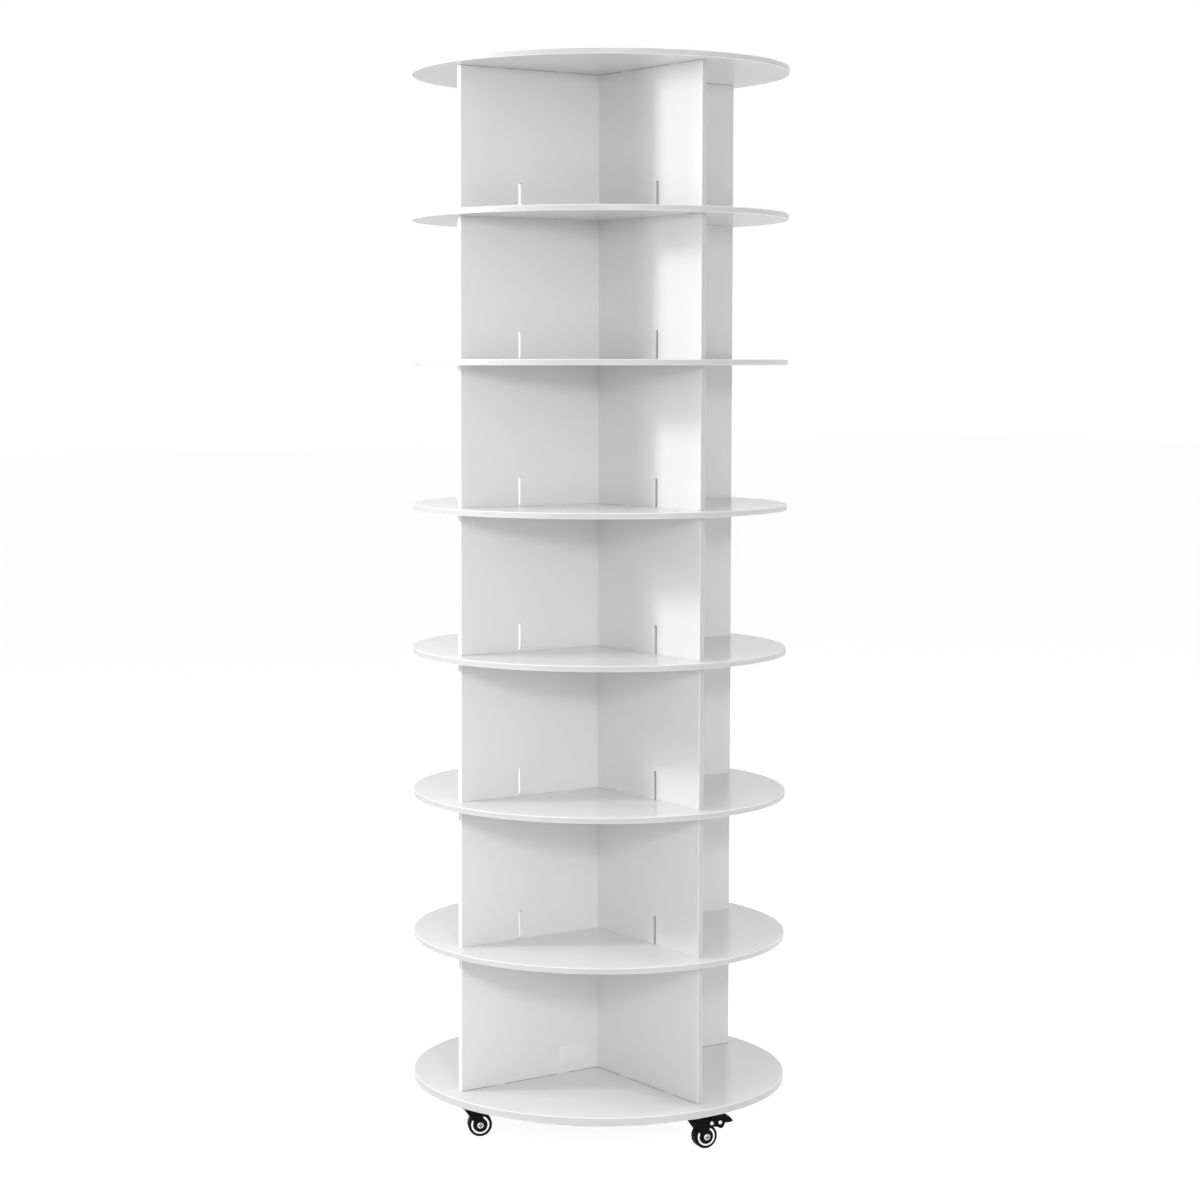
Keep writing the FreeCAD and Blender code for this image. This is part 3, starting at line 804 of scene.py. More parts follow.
# ---- Tower ----
@dataclass
class Tower:
    """Boards, label, screws and caps that turn together.

    Attributes:
        body: name of the body that they ride on.
        label_edge: rounding of the label's edges.
        label_corner: radius of its corners.
        cap_radius: of a screw cap.
        cap_dome: how far the cap stands up in its middle.
        seam: height of the dark strip painted as the shadow in the gap along a board's foot.
        top_seam: the same along its top.
        seam_depth: how far the gap's shadow lies inside the board's face.
        tab_length: of the tabs, where the gap is closed.
        tabs_at: their middles, from the axis.
    """

    body: str = "tower"
    label_edge: float = 0.18 * MM
    label_corner: float = 2.5 * MM
    cap_radius: float = 5.0 * MM
    cap_dome: float = 0.35 * MM
    seam: float = 0.6 * MM
    top_seam: float = 0.35 * MM
    seam_depth: float = 0.02 * MM
    tab_length: float = 20.0 * MM
    tabs_at: tuple[float, float] = (75.0 * MM, 196.0 * MM)

    def build(self) -> None:
        """Dresses the boards and makes the label, the caps and the painted seam shadows."""
        self.dress_boards()
        self.make_label()
        self.make_caps()
        self.make_seam_shadows()
        dress(frame["nodes"]["shelf_screws"], FINISHES[Slot.ZINC_STEEL])

    def dress_boards(self) -> None:
        """Film and cut edges on each board, by the way its thickness runs."""
        for name, node in frame["nodes"].items():
            if name.startswith("upright_x"):
                dress(node, board_finish(Thickness.ALONG_Y))
            elif name.startswith("upright_y"):
                dress(node, board_finish(Thickness.ALONG_X))
            elif name.startswith("shelf_disc") or name in ("top_disc", "bottom_shelf"):
                dress(node, board_finish(Thickness.ALONG_Z))

    def make_label(self) -> None:
        """Blank label: a rounded plate as large as its node."""
        low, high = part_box("label_plate")
        corners = [(low.x, low.z), (high.x, low.z), (high.x, high.z), (low.x, high.z)]
        outline = rounded(corners, [self.label_corner] * 4, 10)
        label = piece("blank_label", plate(outline, low.y, high.y, self.label_edge))
        ready(label, self.body, Slot.LABEL, "label_plate")

    def make_caps(self) -> None:
        """Four domed caps: the profile's height falls with the square of the radius to a rounded rim."""
        low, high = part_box("screw_caps")
        circle = high.x - self.cap_radius
        share = np.linspace(0, 1, 12)
        rim = self.cap_radius
        dome = np.stack([share * rim, high.z + self.cap_dome * (1 - share ** 2)], axis=1)
        foot = np.array([[rim, low.z], [0.0, low.z]])
        cap = turned(np.concatenate([dome, foot]), Axis.ALONG_Z, 48, closed=False)
        spots = ((circle, 0.0), (0.0, circle), (-circle, 0.0), (0.0, -circle))
        caps = piece("domed_screw_caps", joined([shifted(cap, x, y) for x, y in spots]))
        ready(caps, self.body, Slot.WHITE_PLASTIC, "screw_caps")

    def make_seam_shadows(self) -> None:
        """Painted shadow of the gaps between the bottom tier's uprights and their shelf, and under the top
        disc:
        dark bars along the four arms, broken where a tab goes into the board."""
        low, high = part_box("upright_x_7")
        half = (high.y - low.y) / 2 - self.seam_depth
        reach = high.x - self.seam
        half_tab = self.tab_length / 2
        starts = [half] + [middle + half_tab for middle in self.tabs_at]
        ends = [middle - half_tab for middle in self.tabs_at] + [reach]
        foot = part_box("bottom_shelf")[1].z
        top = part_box("top_disc")[0].z
        bars = []
        for floor, ceiling in ((foot, foot + self.seam), (top - self.top_seam, top)):
            for start, end in zip(starts, ends):
                outline = np.array([(start, floor), (end, floor), (end, ceiling), (start, ceiling)])
                bars.append(plate(outline, -half, half, self.seam_depth, 2))
        quarter = np.array([[0.0, -1.0, 0.0], [1.0, 0.0, 0.0], [0.0, 0.0, 1.0]])
        turns = [np.linalg.matrix_power(quarter, arm) for arm in range(4)]
        arms = [Shell(bar.points @ turn.T, bar.faces) for bar in bars for turn in turns]
        seam_shadows = piece("board_seam_shadows", joined(arms))
        ready(seam_shadows, self.body, Slot.WHITE_BOARD, finish=SEAM_SHADOW)


# ---- Turntable and base ----
@dataclass
class Base:
    """Base disc, ring turntable and what joins the casters to the base."""

    finishes: ClassVar[dict[str, Slot]] = {
        "turntable_inner_ring": Slot.RING_ALUMINIUM,
        "turntable_outer_ring": Slot.RING_ALUMINIUM,
        "inner_ring_screws": Slot.ZINC_STEEL,
        "outer_ring_screws": Slot.ZINC_STEEL,
        "turntable_cage": Slot.CAGE_PLASTIC,
        "turntable_balls": Slot.BEARING_STEEL,
        "caster_stems": Slot.ZINC_STEEL,
        "insert_nuts": Slot.ZINC_STEEL,
        "swivel_balls": Slot.BEARING_STEEL,
    }

    def build(self) -> None:
        """Dresses the pieces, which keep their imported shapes."""
        dress(frame["nodes"]["base_disc"], board_finish(Thickness.ALONG_Z))
        for name, slot in self.finishes.items():
            dress(frame["nodes"][name], FINISHES[slot])
            log.info("node %s in %s", name, slot.value)


# ---- Casters ----
@dataclass
class Caster:
    """One caster in its own axes: the swivel axis is Z, the wheel trails towards X and turns about Y.

    The swivel's and the wheel's joints give its place, its trail and its wheel's radius; the pedal's joint
    gives the pedal's pivot. Places along Y count from the wheel's middle plane.

    Attributes:
        name: start of its bodies' and its nodes' names.
        wheel_width: over the tyre.
        tyre_height: of the tyre's section.
        tyre_round: radius of the tread's corners.
        bead: width of the tyre's bead.
        groove: step down beside the bead.
        seat: where the trim rings sit.
        recess: from the seat in to the hub's inner face.
        ring_outer: outer radius of the trim rings.
        ring_inner: their inner radius.
        ring_thickness: of their sheet.
        boss_radius: of the hub's boss.
        boss_end: where the boss ends.
        bore: radius of the hub's bore.
        cheek_middle: middle of a cheek's sheet.
        sheet: thickness of the fork.
        fork_top: height of the crown's upper face.
        fork_bend: radius of the bend between cheek and crown.
        cheek_front: from the swivel axis forward to the cheek's edge, at the crown.
        cheek_rear: from the axle back to the cheek's other edge.
        cheek_boss: radius of the cheek's round end.
        crown_radius: of the crown and the race cup.
        ear_radius: of the fork round the pedal's pivot.
        edge: rounding of the cut edges.
        cup_lip: how far the race cup stands above the crown.
        cup_wall: thickness of the cup.
        axle_radius: of the bolt's shank.
        head_radius: of the bolt's head, and of its nut's corners.
        head_height: of the head.
        nut_height: of the nut.
        thread_end: how far the thread stands out of the nut.
        thread_chamfer: at the thread's end.
        cross_length: of the bars of the head's cross.
        cross_width: of those bars.
        cross_depth: of the cross.
        cross_slope: over which the cross's walls go down.
        segments: points round a turned shape.
    """

    name: str
    wheel_width: float = 17.0 * MM
    tyre_height: float = 4.2 * MM
    tyre_round: float = 2.5 * MM
    bead: float = 1.2 * MM
    groove: float = 0.35 * MM
    seat: float = 8.0 * MM
    recess: float = 3.0 * MM
    ring_outer: float = 14.5 * MM
    ring_inner: float = 11.6 * MM
    ring_thickness: float = 0.6 * MM
    boss_radius: float = 6.0 * MM
    boss_end: float = 9.0 * MM
    bore: float = 3.05 * MM
    cheek_middle: float = 10.0 * MM
    sheet: float = 1.5 * MM
    fork_top: float = 48.5 * MM
    fork_bend: float = 2.2 * MM
    cheek_front: float = 10.5 * MM
    cheek_rear: float = 5.0 * MM
    cheek_boss: float = 5.3 * MM
    crown_radius: float = 14.0 * MM
    ear_radius: float = 4.3 * MM
    edge: float = 0.35 * MM
    cup_lip: float = 1.1 * MM
    cup_wall: float = 0.9 * MM
    axle_radius: float = 3.0 * MM
    head_radius: float = 5.3 * MM
    head_height: float = 2.2 * MM
    nut_height: float = 3.0 * MM
    thread_end: float = 1.0 * MM
    thread_chamfer: float = 0.4 * MM
    cross_length: float = 6.8 * MM
    cross_width: float = 2.0 * MM
    cross_depth: float = 1.5 * MM
    cross_slope: float = 0.35 * MM
    segments: int = 96

    def __post_init__(self) -> None:
        """Reads the caster's place from its joints."""
        joints = {joint["name"]: joint for joint in frame["joints"]}
        swivel = np.array(joints[self.name + "_swivel_spin"]["pos_m"], float)
        wheel = np.array(joints[self.name + "_wheel_spin"]["pos_m"], float)
        away = (wheel - swivel) * np.array([1.0, 1.0, 0.0])
        self.trail = float(np.linalg.norm(away))
        self.radius = float(wheel[2])
        ahead = away / self.trail
        up = np.array([0.0, 0.0, 1.0])
        turn = np.stack([ahead, np.cross(up, ahead), up], axis=1)
        self.place = Place(swivel * np.array([1.0, 1.0, 0.0]), turn)
        press = joints.get(self.name + "_brake_press")
        self.pivot = None
        if press is not None:
            pivot = np.array(press["pos_m"], float)
            self.pivot = (float((pivot - swivel) @ ahead), float(pivot[2]))

    def build(self) -> None:
        """Makes the wheel, the fork and, with a brake, the pedal."""
        self.make_wheel()
        self.make_fork()
        self.make_bolt()
        if self.pivot is not None:
            pedal = Pedal(self)
            pedal.build()

    def about_axle(self, shell: Shell) -> Shell:
        """Moves a shape made round the origin to the axle."""
        return shifted(shell, x=self.trail, z=self.radius)

    def make_wheel(self) -> None:
        """Tyre, hub and trim rings, each turned about the axle."""
        half = self.wheel_width / 2
        rim = self.radius - self.tyre_height
        bead = rim + self.bead
        tyre_half = [(self.radius, half), (bead + self.groove, half), (bead, half - self.groove),
                     (rim, half - self.groove)]
        tyre_radii = [self.tyre_round, 0.15 * MM, 0.15 * MM, 0.1 * MM]
        tyre_section = [(r, -h) for r, h in tyre_half[::-1]] + tyre_half
        profile = rounded(tyre_section, tyre_radii[::-1] + tyre_radii, 8)
        tyre = turned(profile, Axis.ALONG_Y, self.segments)
        body = self.name + "_wheel"
        ready(piece(self.name + "_rounded_tyre", self.about_axle(tyre), self.place), body, Slot.BLACK_RUBBER,
              self.name + "_tyre")

        floor = self.seat - self.recess
        half_section = [(self.bore, self.boss_end), (self.boss_radius, self.boss_end),
                        (self.boss_radius + 0.5 * MM, floor), (self.ring_inner - 0.6 * MM, floor),
                        (self.ring_inner - 0.1 * MM, self.seat), (rim, self.seat)]
        half_radii = [0.2 * MM, 0.5 * MM, 0.8 * MM, 0.8 * MM, 0.2 * MM, 0.1 * MM]
        section = half_section + [(r, -h) for r, h in half_section[::-1]]
        hub = turned(rounded(section, half_radii + half_radii[::-1], 6), Axis.ALONG_Y, self.segments)
        ready(piece(self.name + "_dished_hub", self.about_axle(hub), self.place), body, Slot.BLACK_PLASTIC,
              self.name + "_hub")

        out = self.seat + self.ring_thickness
        lip = self.seat - 0.6 * MM
        ring_section = [(self.ring_inner - 0.35 * MM, lip), (self.ring_inner + 0.05 * MM, lip),
                        (self.ring_inner + 0.2 * MM, self.seat), (self.ring_outer, self.seat),
                        (self.ring_outer, out), (self.ring_inner, out)]
        ring_radii = [0.1 * MM, 0.1 * MM, 0.05 * MM, 0.05 * MM, 0.4 * MM, 0.4 * MM]
        ring = self.about_axle(turned(rounded(ring_section, ring_radii, 6), Axis.ALONG_Y, self.segments))
        ready(piece(self.name + "_domed_trim_rings", joined([ring, mirrored(ring)]), self.place), body,
              Slot.SILVER_RING, self.name + "_trim_rings")

    def cross(self, across: np.ndarray, up: np.ndarray) -> np.ndarray:
        """Depth of the bolt's cross from 0 to 1, as a product of ramps: two crossed bars with sloping walls.

        Args:
            across: places on the head from its middle.
            up: the same, at right angles.

        Returns:
            An array like across.
        """
        longer = np.maximum(np.abs(across), np.abs(up))
        shorter = np.minimum(np.abs(across), np.abs(up))
        along = np.clip((self.cross_length / 2 - longer) / self.cross_slope, 0, 1)
        return along * np.clip((self.cross_width / 2 - shorter) / self.cross_slope, 0, 1)

    def head(self) -> Shell:
        """Bolt's head on a polar grid: at the share s of its radius it stands (1 - s^4)^(1/2) of its height,
        less the cross, and a flat face closes its back."""
        share = np.linspace(0, 1, 44)[:, None]
        angle = np.linspace(0, 2 * math.pi, self.segments, endpoint=False)[None, :]
        across = self.head_radius * share * np.cos(angle)
        up = self.head_radius * share * np.sin(angle)
        back = self.cheek_middle + self.sheet / 2
        height = self.head_height * np.sqrt(1 - share ** 4) - self.cross_depth * self.cross(across, up)
        face = np.stack([across, -(back + height), up], axis=-1)
        rear = np.stack([across[[-1, 0]], np.full((2, self.segments), -back), up[[-1, 0]]], axis=-1)
        points = np.concatenate([face, rear]).reshape(-1, 3)
        return Shell(points, (grid_faces(len(share) + 2, self.segments, False, True),))

    def make_bolt(self) -> None:
        """Axle bolt with a domed cross head, painted dark as shade in its cross, and its hexagon nut."""
        outer = self.cheek_middle + self.sheet / 2
        end = outer + self.nut_height
        tip = end + self.thread_end
        shank = np.array([[0.0, -outer], [self.axle_radius, -outer],
                          [self.axle_radius, tip - self.thread_chamfer],
                          [self.axle_radius - self.thread_chamfer, tip], [0.0, tip]])
        turn = np.radians(60 * np.arange(6))
        corners = [(self.head_radius * math.cos(angle), self.head_radius * math.sin(angle)) for angle in turn]
        nut = plate(rounded(corners, [0.3 * MM] * 6, 4), outer, end, self.edge)
        shells = [self.head(), turned(shank, Axis.ALONG_Y, 48, closed=False), nut]
        bolt = piece(self.name + "_cross_head_bolt", self.about_axle(joined(shells)), self.place)
        own = (points_of(bolt) - self.place.origin) @ self.place.turn
        across, up = own[:, 0] - self.trail, own[:, 2] - self.radius
        # All of the cross but its middle is painted dark as shade.
        bright = np.hypot(across, up) < 0.4 * self.cross_width      # floor of the cross, which catches light
        sunk = np.where((own[:, 1] < -outer) & ~bright, self.cross(across, up), 0.0)
        bolt.data.attributes.new(RECESS_SHADE, "FLOAT", "POINT").data.foreach_set("value", sunk.astype(np.float32))
        ready(bolt, self.name + "_swivel", Slot.BRIGHT_STEEL, self.name + "_axle")

    def fork_surface(self) -> Shell:
        """Middle surface of the bent fork sheet.

        A row runs along X from the front edge to the rear edge. The rows follow a U: up one cheek, round a
        bend, across the crown and down the other cheek. On a cheek the front edge is the slanting line that
        touches the boss's circle, and below the axle both edges are that circle.

        Returns:
            An open shell with rows x columns points.
        """
        boss_rows, cheek_rows, bend_rows, crown_rows, columns = 12, 40, 8, 8, 25
        top = self.fork_top - self.sheet / 2
        bend_low = top - self.fork_bend
        drop = np.radians(np.linspace(8, 90, boss_rows))
        cheek_z = np.concatenate([self.radius - self.cheek_boss * np.cos(drop),
                                  np.linspace(self.radius, bend_low, cheek_rows)[1:]])
        arc = np.radians(np.linspace(0, 90, bend_rows))[1:]
        arc_y = self.cheek_middle - self.fork_bend * (1 - np.cos(arc))
        arc_z = bend_low + self.fork_bend * np.sin(arc)
        across = np.linspace(arc_y[-1], 0, crown_rows)[1:]
        half_y = np.concatenate([np.full(len(cheek_z), self.cheek_middle), arc_y, across])
        half_z = np.concatenate([cheek_z, arc_z, np.full(len(across), top)])
        y = np.concatenate([half_y, -half_y[-2::-1]])
        z = np.concatenate([half_z, half_z[-2::-1]])

        run, rise = -self.cheek_front - self.trail, self.fork_top - self.radius
        angle = math.atan2(rise, run) + math.acos(self.cheek_boss / math.hypot(run, rise))
        touch_x = self.trail + self.cheek_boss * math.cos(angle)
        touch_z = self.radius + self.cheek_boss * math.sin(angle)
        circle = np.sqrt(np.clip(self.cheek_boss ** 2 - (z - self.radius) ** 2, 0, None))
        slant = touch_x + (z - touch_z) * (-self.cheek_front - touch_x) / (self.fork_top - touch_z)
        crown = -np.sqrt(np.clip(self.crown_radius ** 2 - y ** 2, self.cheek_front ** 2, None))
        front = np.where(z < touch_z, self.trail - circle, slant)
        front = np.where(z > bend_low, np.minimum(front, crown), front)
        rear = np.full(len(z), self.trail + self.cheek_rear)
        rear = np.where(z < self.radius, np.minimum(rear, self.trail + circle), rear)
        if self.pivot is not None:
            pivot_x, pivot_z = self.pivot
            ear = pivot_x + np.sqrt(np.clip(self.ear_radius ** 2 - (z - pivot_z) ** 2, 0, None))
            rear = np.where(z > pivot_z - self.ear_radius, ear, rear)
        share = np.linspace(0, 1, columns)[None, :]
        x = front[:, None] + share * (rear - front)[:, None]
        rows = [np.broadcast_to(level[:, None], x.shape) for level in (y, z)]
        points = np.stack([x, *rows], axis=-1).reshape(-1, 3)
        return Shell(points, (grid_faces(len(y), columns, False, False),))

    def make_fork(self) -> None:
        """Bent sheet with rounded edges, and the swivel's race cup on its crown."""
        body = self.name + "_swivel"
        fork = piece(self.name + "_bent_fork", self.fork_surface(), self.place)
        solid = fork.modifiers.new("sheet", "SOLIDIFY")
        solid.thickness = self.sheet
        solid.offset = 0.0
        rounding = fork.modifiers.new("edges", "BEVEL")
        rounding.width = self.edge
        rounding.segments = 3
        rounding.limit_method = "ANGLE"
        rounding.angle_limit = math.radians(50)
        ready(fork, body, Slot.BLACK_STEEL, self.name + "_fork")

        low = self.fork_top - self.sheet
        lip = self.fork_top + self.cup_lip
        hole = self.bore + 1.0 * MM
        outer = self.crown_radius
        inner = outer - self.cup_wall
        section = [(hole, low), (outer - 0.5 * MM, low), (outer, lip), (inner, lip),
                   (inner - 0.4 * MM, self.fork_top), (hole, self.fork_top)]
        radii = [0.1 * MM, 1.2 * MM, 0.3 * MM, 0.3 * MM, 0.5 * MM, 0.1 * MM]
        cup = turned(rounded(section, radii, 6), Axis.ALONG_Z, self.segments)
        ready(piece(self.name + "_race_cup", cup, self.place), body, Slot.BLACK_STEEL)


@dataclass
class Pedal:
    """Brake pedal in its caster's axes; lengths along X and Z count from its pivot.

    Attributes:
        caster: the caster that it brakes.
        wall_inner: from the wheel's middle plane to a wall's inner face.
        sheet: thickness of the pedal.
        tuck: how far the web and the tread end inside the walls' outer faces.
        rise: height of the web.
        reach: how far back its tip lies.
        tread: length of the tread, from the web's bend to the tip.
        tread_angle: of a straight tread of that length, in degrees below the web.
        knee_x: where the tread turns down to its tip.
        knee_z: height of that place.
        second_rivet: place of the rivet that holds the tongue.
        rivet_head: radius of the rivets' heads.
        rivet_radius: of their shanks.
        rivet_dome: height of their heads.
        toe: place of the tongue's end, towards the tyre.
        shoe_width: of the tongue.
        rib_count: number of grip ribs.
        rib_radius: of each.
        rib_gap: from a rib's end to the wall.
        rib_span: first and last rib, as shares of the slope from the web's bend to the knee.
    """

    caster: Caster
    wall_inner: float = 11.0 * MM
    sheet: float = 1.2 * MM
    tuck: float = 0.02 * MM
    rise: float = 10.6 * MM
    reach: float = 36.8 * MM
    tread: float = 15.0 * MM
    tread_angle: float = 42.0
    knee_x: float = 32.2 * MM
    knee_z: float = 6.3 * MM
    second_rivet: float = 14.5 * MM
    rivet_head: float = 3.2 * MM
    rivet_radius: float = 1.5 * MM
    rivet_dome: float = 1.2 * MM
    toe: float = 8.0 * MM
    shoe_width: float = 15.0 * MM
    rib_count: int = 3
    rib_radius: float = 0.5 * MM
    rib_gap: float = 1.5 * MM
    rib_span: tuple[float, float] = (0.3, 0.85)

    def build(self) -> None:
        """Joins the pedal's walls, top, tongue and ribs, and makes the rivets."""
        name = self.caster.name
        pivot_x, pivot_z = self.caster.pivot
        shells = self.walls() + [self.top(), self.tongue(), self.boss()] + self.ribs()
        folded = shifted(joined(shells), x=pivot_x, z=pivot_z)
        pedal = piece(name + "_folded_pedal", folded, self.caster.place)
        ready(pedal, name + "_pedal", Slot.BLACK_STEEL, name + "_brake_pedal")
        rivets = joined([shifted(self.rivet(), x=pivot_x + x, z=pivot_z) for x in (0.0, self.second_rivet)])
        ready(piece(name + "_domed_rivets", rivets, self.caster.place), name + "_pedal", Slot.BRIGHT_STEEL,
              name + "_brake_rivets")

    def rivet(self) -> Shell:
        """Rivet with a dome at each end, which at the share s of its radius stands (1 - s^3)^(1/2) of its
        height."""
        face = self.wall_inner + self.sheet
        share = np.linspace(0, 1, 14)
        dome = np.stack([self.rivet_head * share, face + self.rivet_dome * np.sqrt(1 - share ** 3)], axis=1)
        neck = np.array([[self.rivet_radius, face]])
        half = np.concatenate([dome, neck])
        other = half[::-1] * np.array([1.0, -1.0])
        return turned(np.concatenate([half, other]), Axis.ALONG_Y, 48, closed=False)

    @property
    def bend_x(self) -> float:
        """Where the top bends down into the tread."""
        return self.reach - self.tread * math.cos(math.radians(self.tread_angle))

    def walls(self) -> list[Shell]:
        """Both side walls: a plate with the eye round the pivot, a lug below the second rivet and the tip."""
        ear = self.caster.ear_radius
        low = -2 * ear
        step = self.second_rivet + 2 * ear
        corners = [(-ear, ear), (-ear, -ear), (self.second_rivet - self.rivet_head, low + self.sheet),
                   (self.second_rivet, low - self.sheet), (step - self.rivet_head, low),
                   (step, -self.rivet_radius), (self.reach - ear, -self.rivet_radius),
                   (self.reach, 0.2 * MM), (self.knee_x, self.knee_z), (self.bend_x, self.rise),
                   (self.rivet_head, self.rise)]
        eye = ear * 0.98        # a little under the ear's radius, so that the two arcs stay apart
        radii = [eye, eye, 1.5 * MM, 1.0 * MM, 1.0 * MM, 1.5 * MM,
                 1.0 * MM, 0.9 * MM, 2.0 * MM, 1.4 * MM, 2.0 * MM]
        outer = self.wall_inner + self.sheet
        wall = plate(rounded(corners, radii), self.wall_inner, outer, self.caster.edge)
        return [wall, mirrored(wall)]

    def top(self) -> Shell:
        """Web and tread: one bent sheet across both walls."""
        half = self.sheet / 2
        width = self.wall_inner + self.sheet - self.tuck
        path = [(self.rivet_head + half, self.rise - half), (self.bend_x - half, self.rise - half),
                (self.knee_x - half, self.knee_z - half), (self.reach - half, 0.4 * MM)]
        return plate(strip(path, self.sheet, 1.2 * MM), -width, width, self.caster.edge)

    def tongue(self) -> Shell:
        """Tongue that hangs from the web and turns forward over the tyre."""
        ear = self.caster.ear_radius
        left, right = self.second_rivet - self.rivet_radius, self.second_rivet + self.rivet_radius
        corners = [(right, self.rise - self.sheet / 2), (right, -ear - 2 * self.sheet),
                   (self.toe, -ear - self.sheet), (self.toe + self.sheet / 2, -ear),
                   (left, -ear - self.sheet / 2), (left, self.rise - self.sheet / 2)]
        radii = [0.3 * MM, 1.2 * MM, 0.4 * MM, 0.4 * MM, 0.6 * MM, 0.3 * MM]
        half = self.shoe_width / 2
        return plate(rounded(corners, radii), -half, half, self.caster.edge)

    def boss(self) -> Shell:
        """Boss of the second rivet, turned about its axis."""
        half = self.shoe_width / 2
        section = [(self.rivet_radius, -half), (self.rivet_head, -half), (self.rivet_head, half),
                   (self.rivet_radius, half)]
        profile = rounded(section, [0.1 * MM, 0.3 * MM, 0.3 * MM, 0.1 * MM], 4)
        return shifted(turned(profile, Axis.ALONG_Y, 48), x=self.second_rivet)

    def ribs(self) -> list[Shell]:
        """Grip ribs on the tread: rods across it, half sunk, evenly spaced down its slope."""
        half = self.wall_inner - self.rib_gap
        section = [(0.0, -half), (self.rib_radius, -half), (self.rib_radius, half), (0.0, half)]
        profile = rounded(section, [0.0, 0.3 * MM, 0.3 * MM, 0.0], 4)
        rib = turned(profile, Axis.ALONG_Y, 16, closed=False)
        shares = np.linspace(*self.rib_span, self.rib_count)
        return [shifted(rib, x=self.bend_x + share * (self.knee_x - self.bend_x),
                        z=self.rise + share * (self.knee_z - self.rise)) for share in shares]


# ---- Studio ----
def from_bearing(heading: float, bearing: float, rise: float = 0.0) -> Vector:
    """Unit vector from the tower to a bearing, which is 0 towards the camera and + to the camera's right.

    Args:
        heading: the camera's, in degrees from +X towards +Y.
        bearing: in degrees.
        rise: above the horizon, in degrees.

    Returns:
        The vector.
    """
    angle = math.radians(heading + 180 + bearing)
    level = math.cos(math.radians(rise))
    return Vector((level * math.cos(angle), level * math.sin(angle), math.sin(math.radians(rise))))


@dataclass(frozen=True)
class Lamp:
    """Square soft box that faces the tower's axis.

    Attributes:
        name: the lamp's name.
        bearing: of the lamp, in degrees.
        distance: from the tower's axis.
        height: above the floor.
        aim: height of the point on the axis that it faces.
        width: of its side.
        power: in watts.
        mirrored: whether shiny surfaces show it.
    """

    name: str
    bearing: float
    distance: float
    height: float
    aim: float
    width: float
    power: float
    mirrored: bool = True

    def build(self, heading: float) -> None:
        """Adds the lamp for a camera that looks along heading."""
        data = bpy.data.lights.new(self.name, "AREA")
        data.size, data.energy = self.width, self.power
        lamp = bpy.data.objects.new(self.name, data)
        lamp.location = from_bearing(heading, self.bearing) * self.distance + Vector((0.0, 0.0, self.height))
        away = Vector((0.0, 0.0, self.aim)) - lamp.location
        lamp.rotation_euler = away.to_track_quat("-Z", "Y").to_euler()
        lamp.visible_glossy = self.mirrored
        bpy.context.scene.collection.objects.link(lamp)


@dataclass(frozen=True)
class Glow:
    """Broad light from one side of the room: level times the cosine to the middle direction, to a power.

    Attributes:
        bearing: of the middle in degrees, 0 towards the camera and + to its right.
        rise: of the middle above the horizon, in degrees.
        power: the higher, the narrower.
        level: strength in the middle.
    """

    bearing: float
    rise: float
    power: float
    level: float


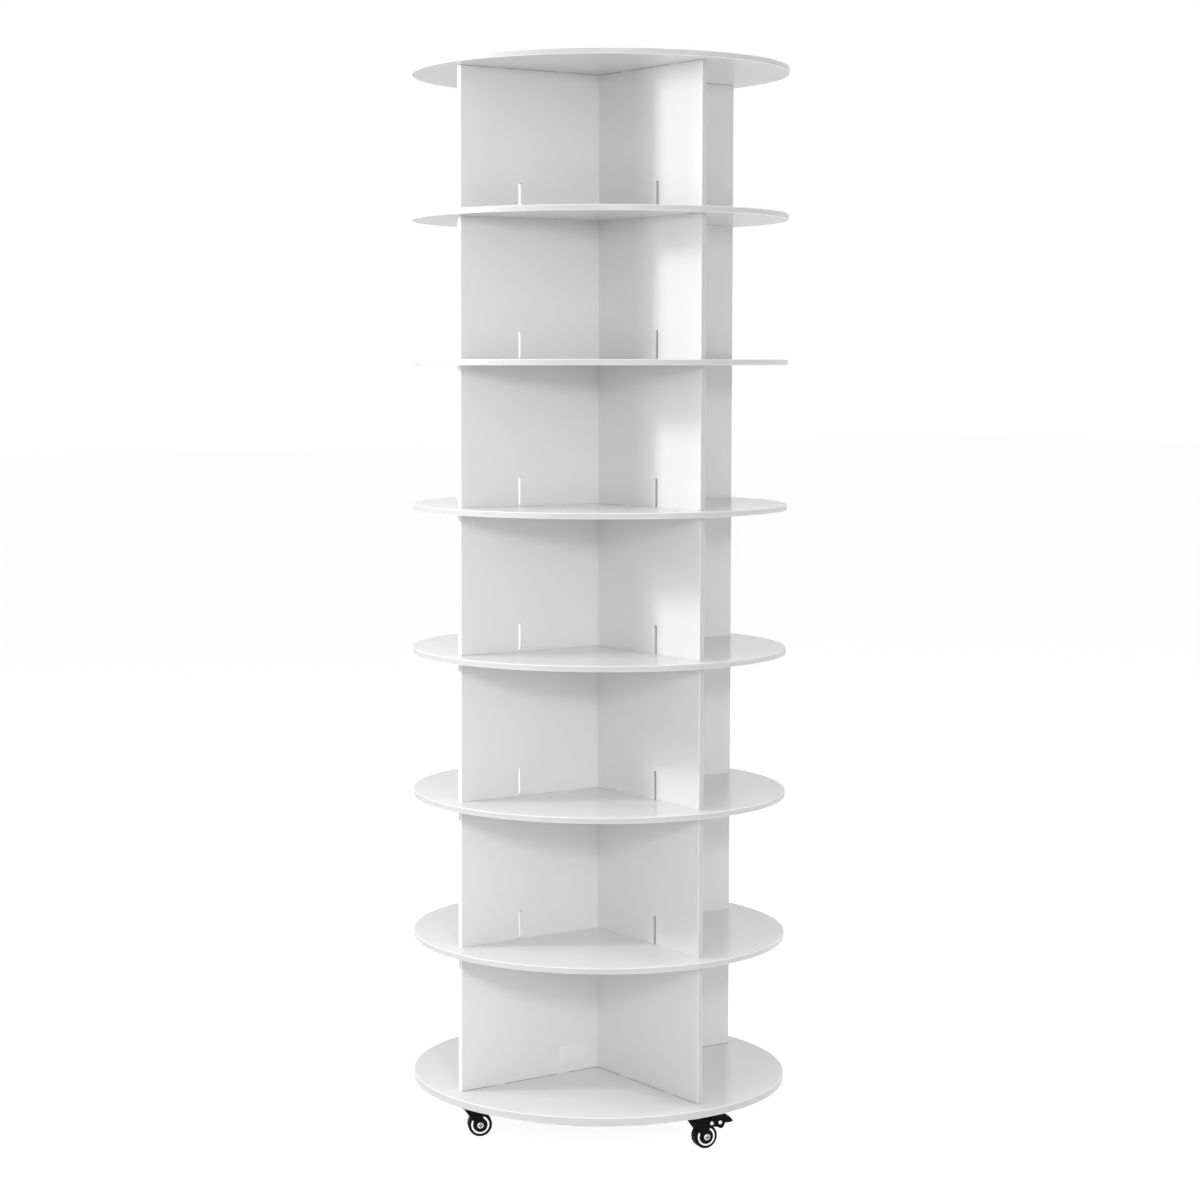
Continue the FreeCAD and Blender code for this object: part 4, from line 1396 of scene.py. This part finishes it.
@dataclass
class Studio:
    """White room: a floor and a world that both read as white, soft boxes and the camera.

    Attributes:
        eye: the camera's place.
        heading: the way it looks, in degrees from +X towards +Y.
        tilt: how far it looks down, in degrees.
        lens: focal length in millimetres on a sensor 36 mm wide.
        shift: share of the picture's width that the lens is shifted by.
        floor_level: what the floor adds to its faint shading, as the camera sees it.
        mirror_level: what the floor adds to its own shading, as shiny surfaces see it.
        floor_size: of the floor's sides.
        glows: what the world lights matt surfaces with.
        lamps: the soft boxes.
    """

    eye: tuple[float, float, float] = (-2.4847, -3.4292, 1.2144)
    heading: float = 55.961
    tilt: float = 3.916
    lens: float = 79.007
    shift: tuple[float, float] = (0.0727, -0.045)
    floor_level: float = 0.9
    mirror_level: float = 0.5
    floor_size: float = 60.0
    glows: tuple[Glow, ...] = (
        Glow(0.0, 8.5, 12.0, 2.28),
        Glow(0.0, 45.0, 8.0, 1.58),
    )
    lamps: tuple[Lamp, ...] = (
        Lamp("left_key", -83.0, 2.3, 1.8, 1.2, 0.22, 27.0),
        Lamp("left_box", -78.0, 1.75, 1.4, 1.2, 0.3, 6.5),
        Lamp("left_back_box", -98.0, 2.6, 2.1, 1.56, 0.4, 25.0),
        Lamp("left_low_box", -45.0, 2.6, 0.85, 0.81, 0.6, 5.4),
        Lamp("front_box", 8.0, 3.6, 1.7, 1.32, 0.35, 25.4),
        Lamp("front_low_box", 30.0, 2.6, 0.85, 0.81, 0.6, 5.5),
        Lamp("right_low_box", 90.0, 2.6, 0.85, 0.81, 0.6, 7.2, mirrored=False),
        Lamp("right_back_box", 120.0, 2.6, 0.95, 0.9, 0.6, 31.0, mirrored=False),
        Lamp("back_box", 175.0, 3.2, 1.5, 1.2, 0.6, 12.0, mirrored=False),
        Lamp("top_box", 0.0, 0.5, 3.3, 1.5, 0.5, 11.0, mirrored=False),
        Lamp("top_front_box", 5.0, 1.3, 4.2, 0.9, 0.8, 16.0, mirrored=False),
    )

    def build(self) -> None:
        """Adds the world, the floor, the lamps and the camera, and sets the view transform."""
        self.make_world()
        self.make_floor()
        for lamp in self.lamps:
            lamp.build(self.heading)
        self.make_camera()
        bpy.context.scene.view_settings.view_transform = "Standard"

    def make_world(self) -> None:
        """World that lights matt surfaces with the glows, and reads as white, also in a reflection."""
        world = bpy.data.worlds.new("white_room")
        world.use_nodes = True
        world.node_tree.nodes.clear()
        nodes = Nodes(world.node_tree)
        view = nodes.add("ShaderNodeTexCoord").outputs["Generated"]
        level = 0.0
        for glow in self.glows:
            middle = from_bearing(self.heading, glow.bearing, glow.rise)
            cosine = nodes.add("ShaderNodeVectorMath", {0: view, 1: middle}, operation="DOT_PRODUCT")
            facing = nodes.math("MAXIMUM", cosine.outputs["Value"], 0.0)
            share = nodes.math("MULTIPLY", nodes.math("POWER", facing, glow.power), glow.level)
            level = nodes.math("ADD", share, level)
        light = nodes.add("ShaderNodeBackground", {"Color": grey(1.0), "Strength": level})
        white = nodes.add("ShaderNodeBackground", {"Color": grey(1.0), "Strength": 1.0})
        path = nodes.add("ShaderNodeLightPath").outputs
        seen = nodes.math("MAXIMUM", path["Is Camera Ray"], path["Is Transmission Ray"])
        seen = nodes.math("MAXIMUM", seen, path["Is Glossy Ray"])
        mix = nodes.add("ShaderNodeMixShader", {0: seen, 1: light.outputs[0], 2: white.outputs[0]})
        nodes.add("ShaderNodeOutputWorld", {"Surface": mix.outputs[0]})
        bpy.context.scene.world = world

    def make_floor(self) -> None:
        """Pale floor: plain white paint for light that bounces. In a reflection part of its white is its own,
        and for the camera most of it, so that the shadow on it stays faint."""
        half = self.floor_size / 2
        corners = np.array([[-half, -half, 0.0], [half, -half, 0.0], [half, half, 0.0], [-half, half, 0.0]])
        floor = piece("floor", Shell(corners, (np.array([[0, 1, 2, 3]]),)))
        paint = bpy.data.materials.new("floor_paint")
        paint.use_nodes = True
        paint.node_tree.nodes.clear()
        nodes = Nodes(paint.node_tree)
        matt = nodes.add("ShaderNodeBsdfDiffuse", {"Color": grey(0.8)})
        faint = nodes.add("ShaderNodeBsdfDiffuse", {"Color": grey(0.3)})
        glow = nodes.add("ShaderNodeEmission", {"Color": grey(1.0), "Strength": self.floor_level})
        shown = nodes.add("ShaderNodeAddShader", {0: faint.outputs[0], 1: glow.outputs[0]})
        path = nodes.add("ShaderNodeLightPath").outputs
        level = nodes.math("MULTIPLY", path["Is Glossy Ray"], self.mirror_level)
        sheen = nodes.add("ShaderNodeEmission", {"Color": grey(1.0), "Strength": level})
        other = nodes.add("ShaderNodeAddShader", {0: matt.outputs[0], 1: sheen.outputs[0]})
        seen = nodes.math("MAXIMUM", path["Is Camera Ray"], path["Is Transmission Ray"])
        mix = nodes.add("ShaderNodeMixShader", {0: seen, 1: other.outputs[0], 2: shown.outputs[0]})
        nodes.add("ShaderNodeOutputMaterial", {"Surface": mix.outputs[0]})
        floor.data.materials.append(paint)

    def make_camera(self) -> None:
        """Camera at the eye, with its shifted lens."""
        data = bpy.data.cameras.new("camera")
        data.sensor_width = 36.0
        data.lens = self.lens
        data.shift_x, data.shift_y = self.shift
        data.clip_start, data.clip_end = 0.05, 200.0
        camera = bpy.data.objects.new("camera", data)
        camera.location = self.eye
        camera.rotation_euler = (math.radians(90 - self.tilt), 0.0, math.radians(self.heading - 90))
        bpy.context.scene.collection.objects.link(camera)
        bpy.context.scene.camera = camera


def main() -> None:
    """Builds the looks sub-assembly by sub-assembly."""
    logging.basicConfig(level=logging.INFO, format="%(name)s: %(message)s")
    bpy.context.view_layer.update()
    build_patterns()
    Tower().build()
    Base().build()
    for body in frame["bodies"]:
        if body.startswith("caster") and body.endswith("_swivel"):
            Caster(body.removesuffix("_swivel")).build()
    Studio().build()


if __name__ == "__main__":
    main()
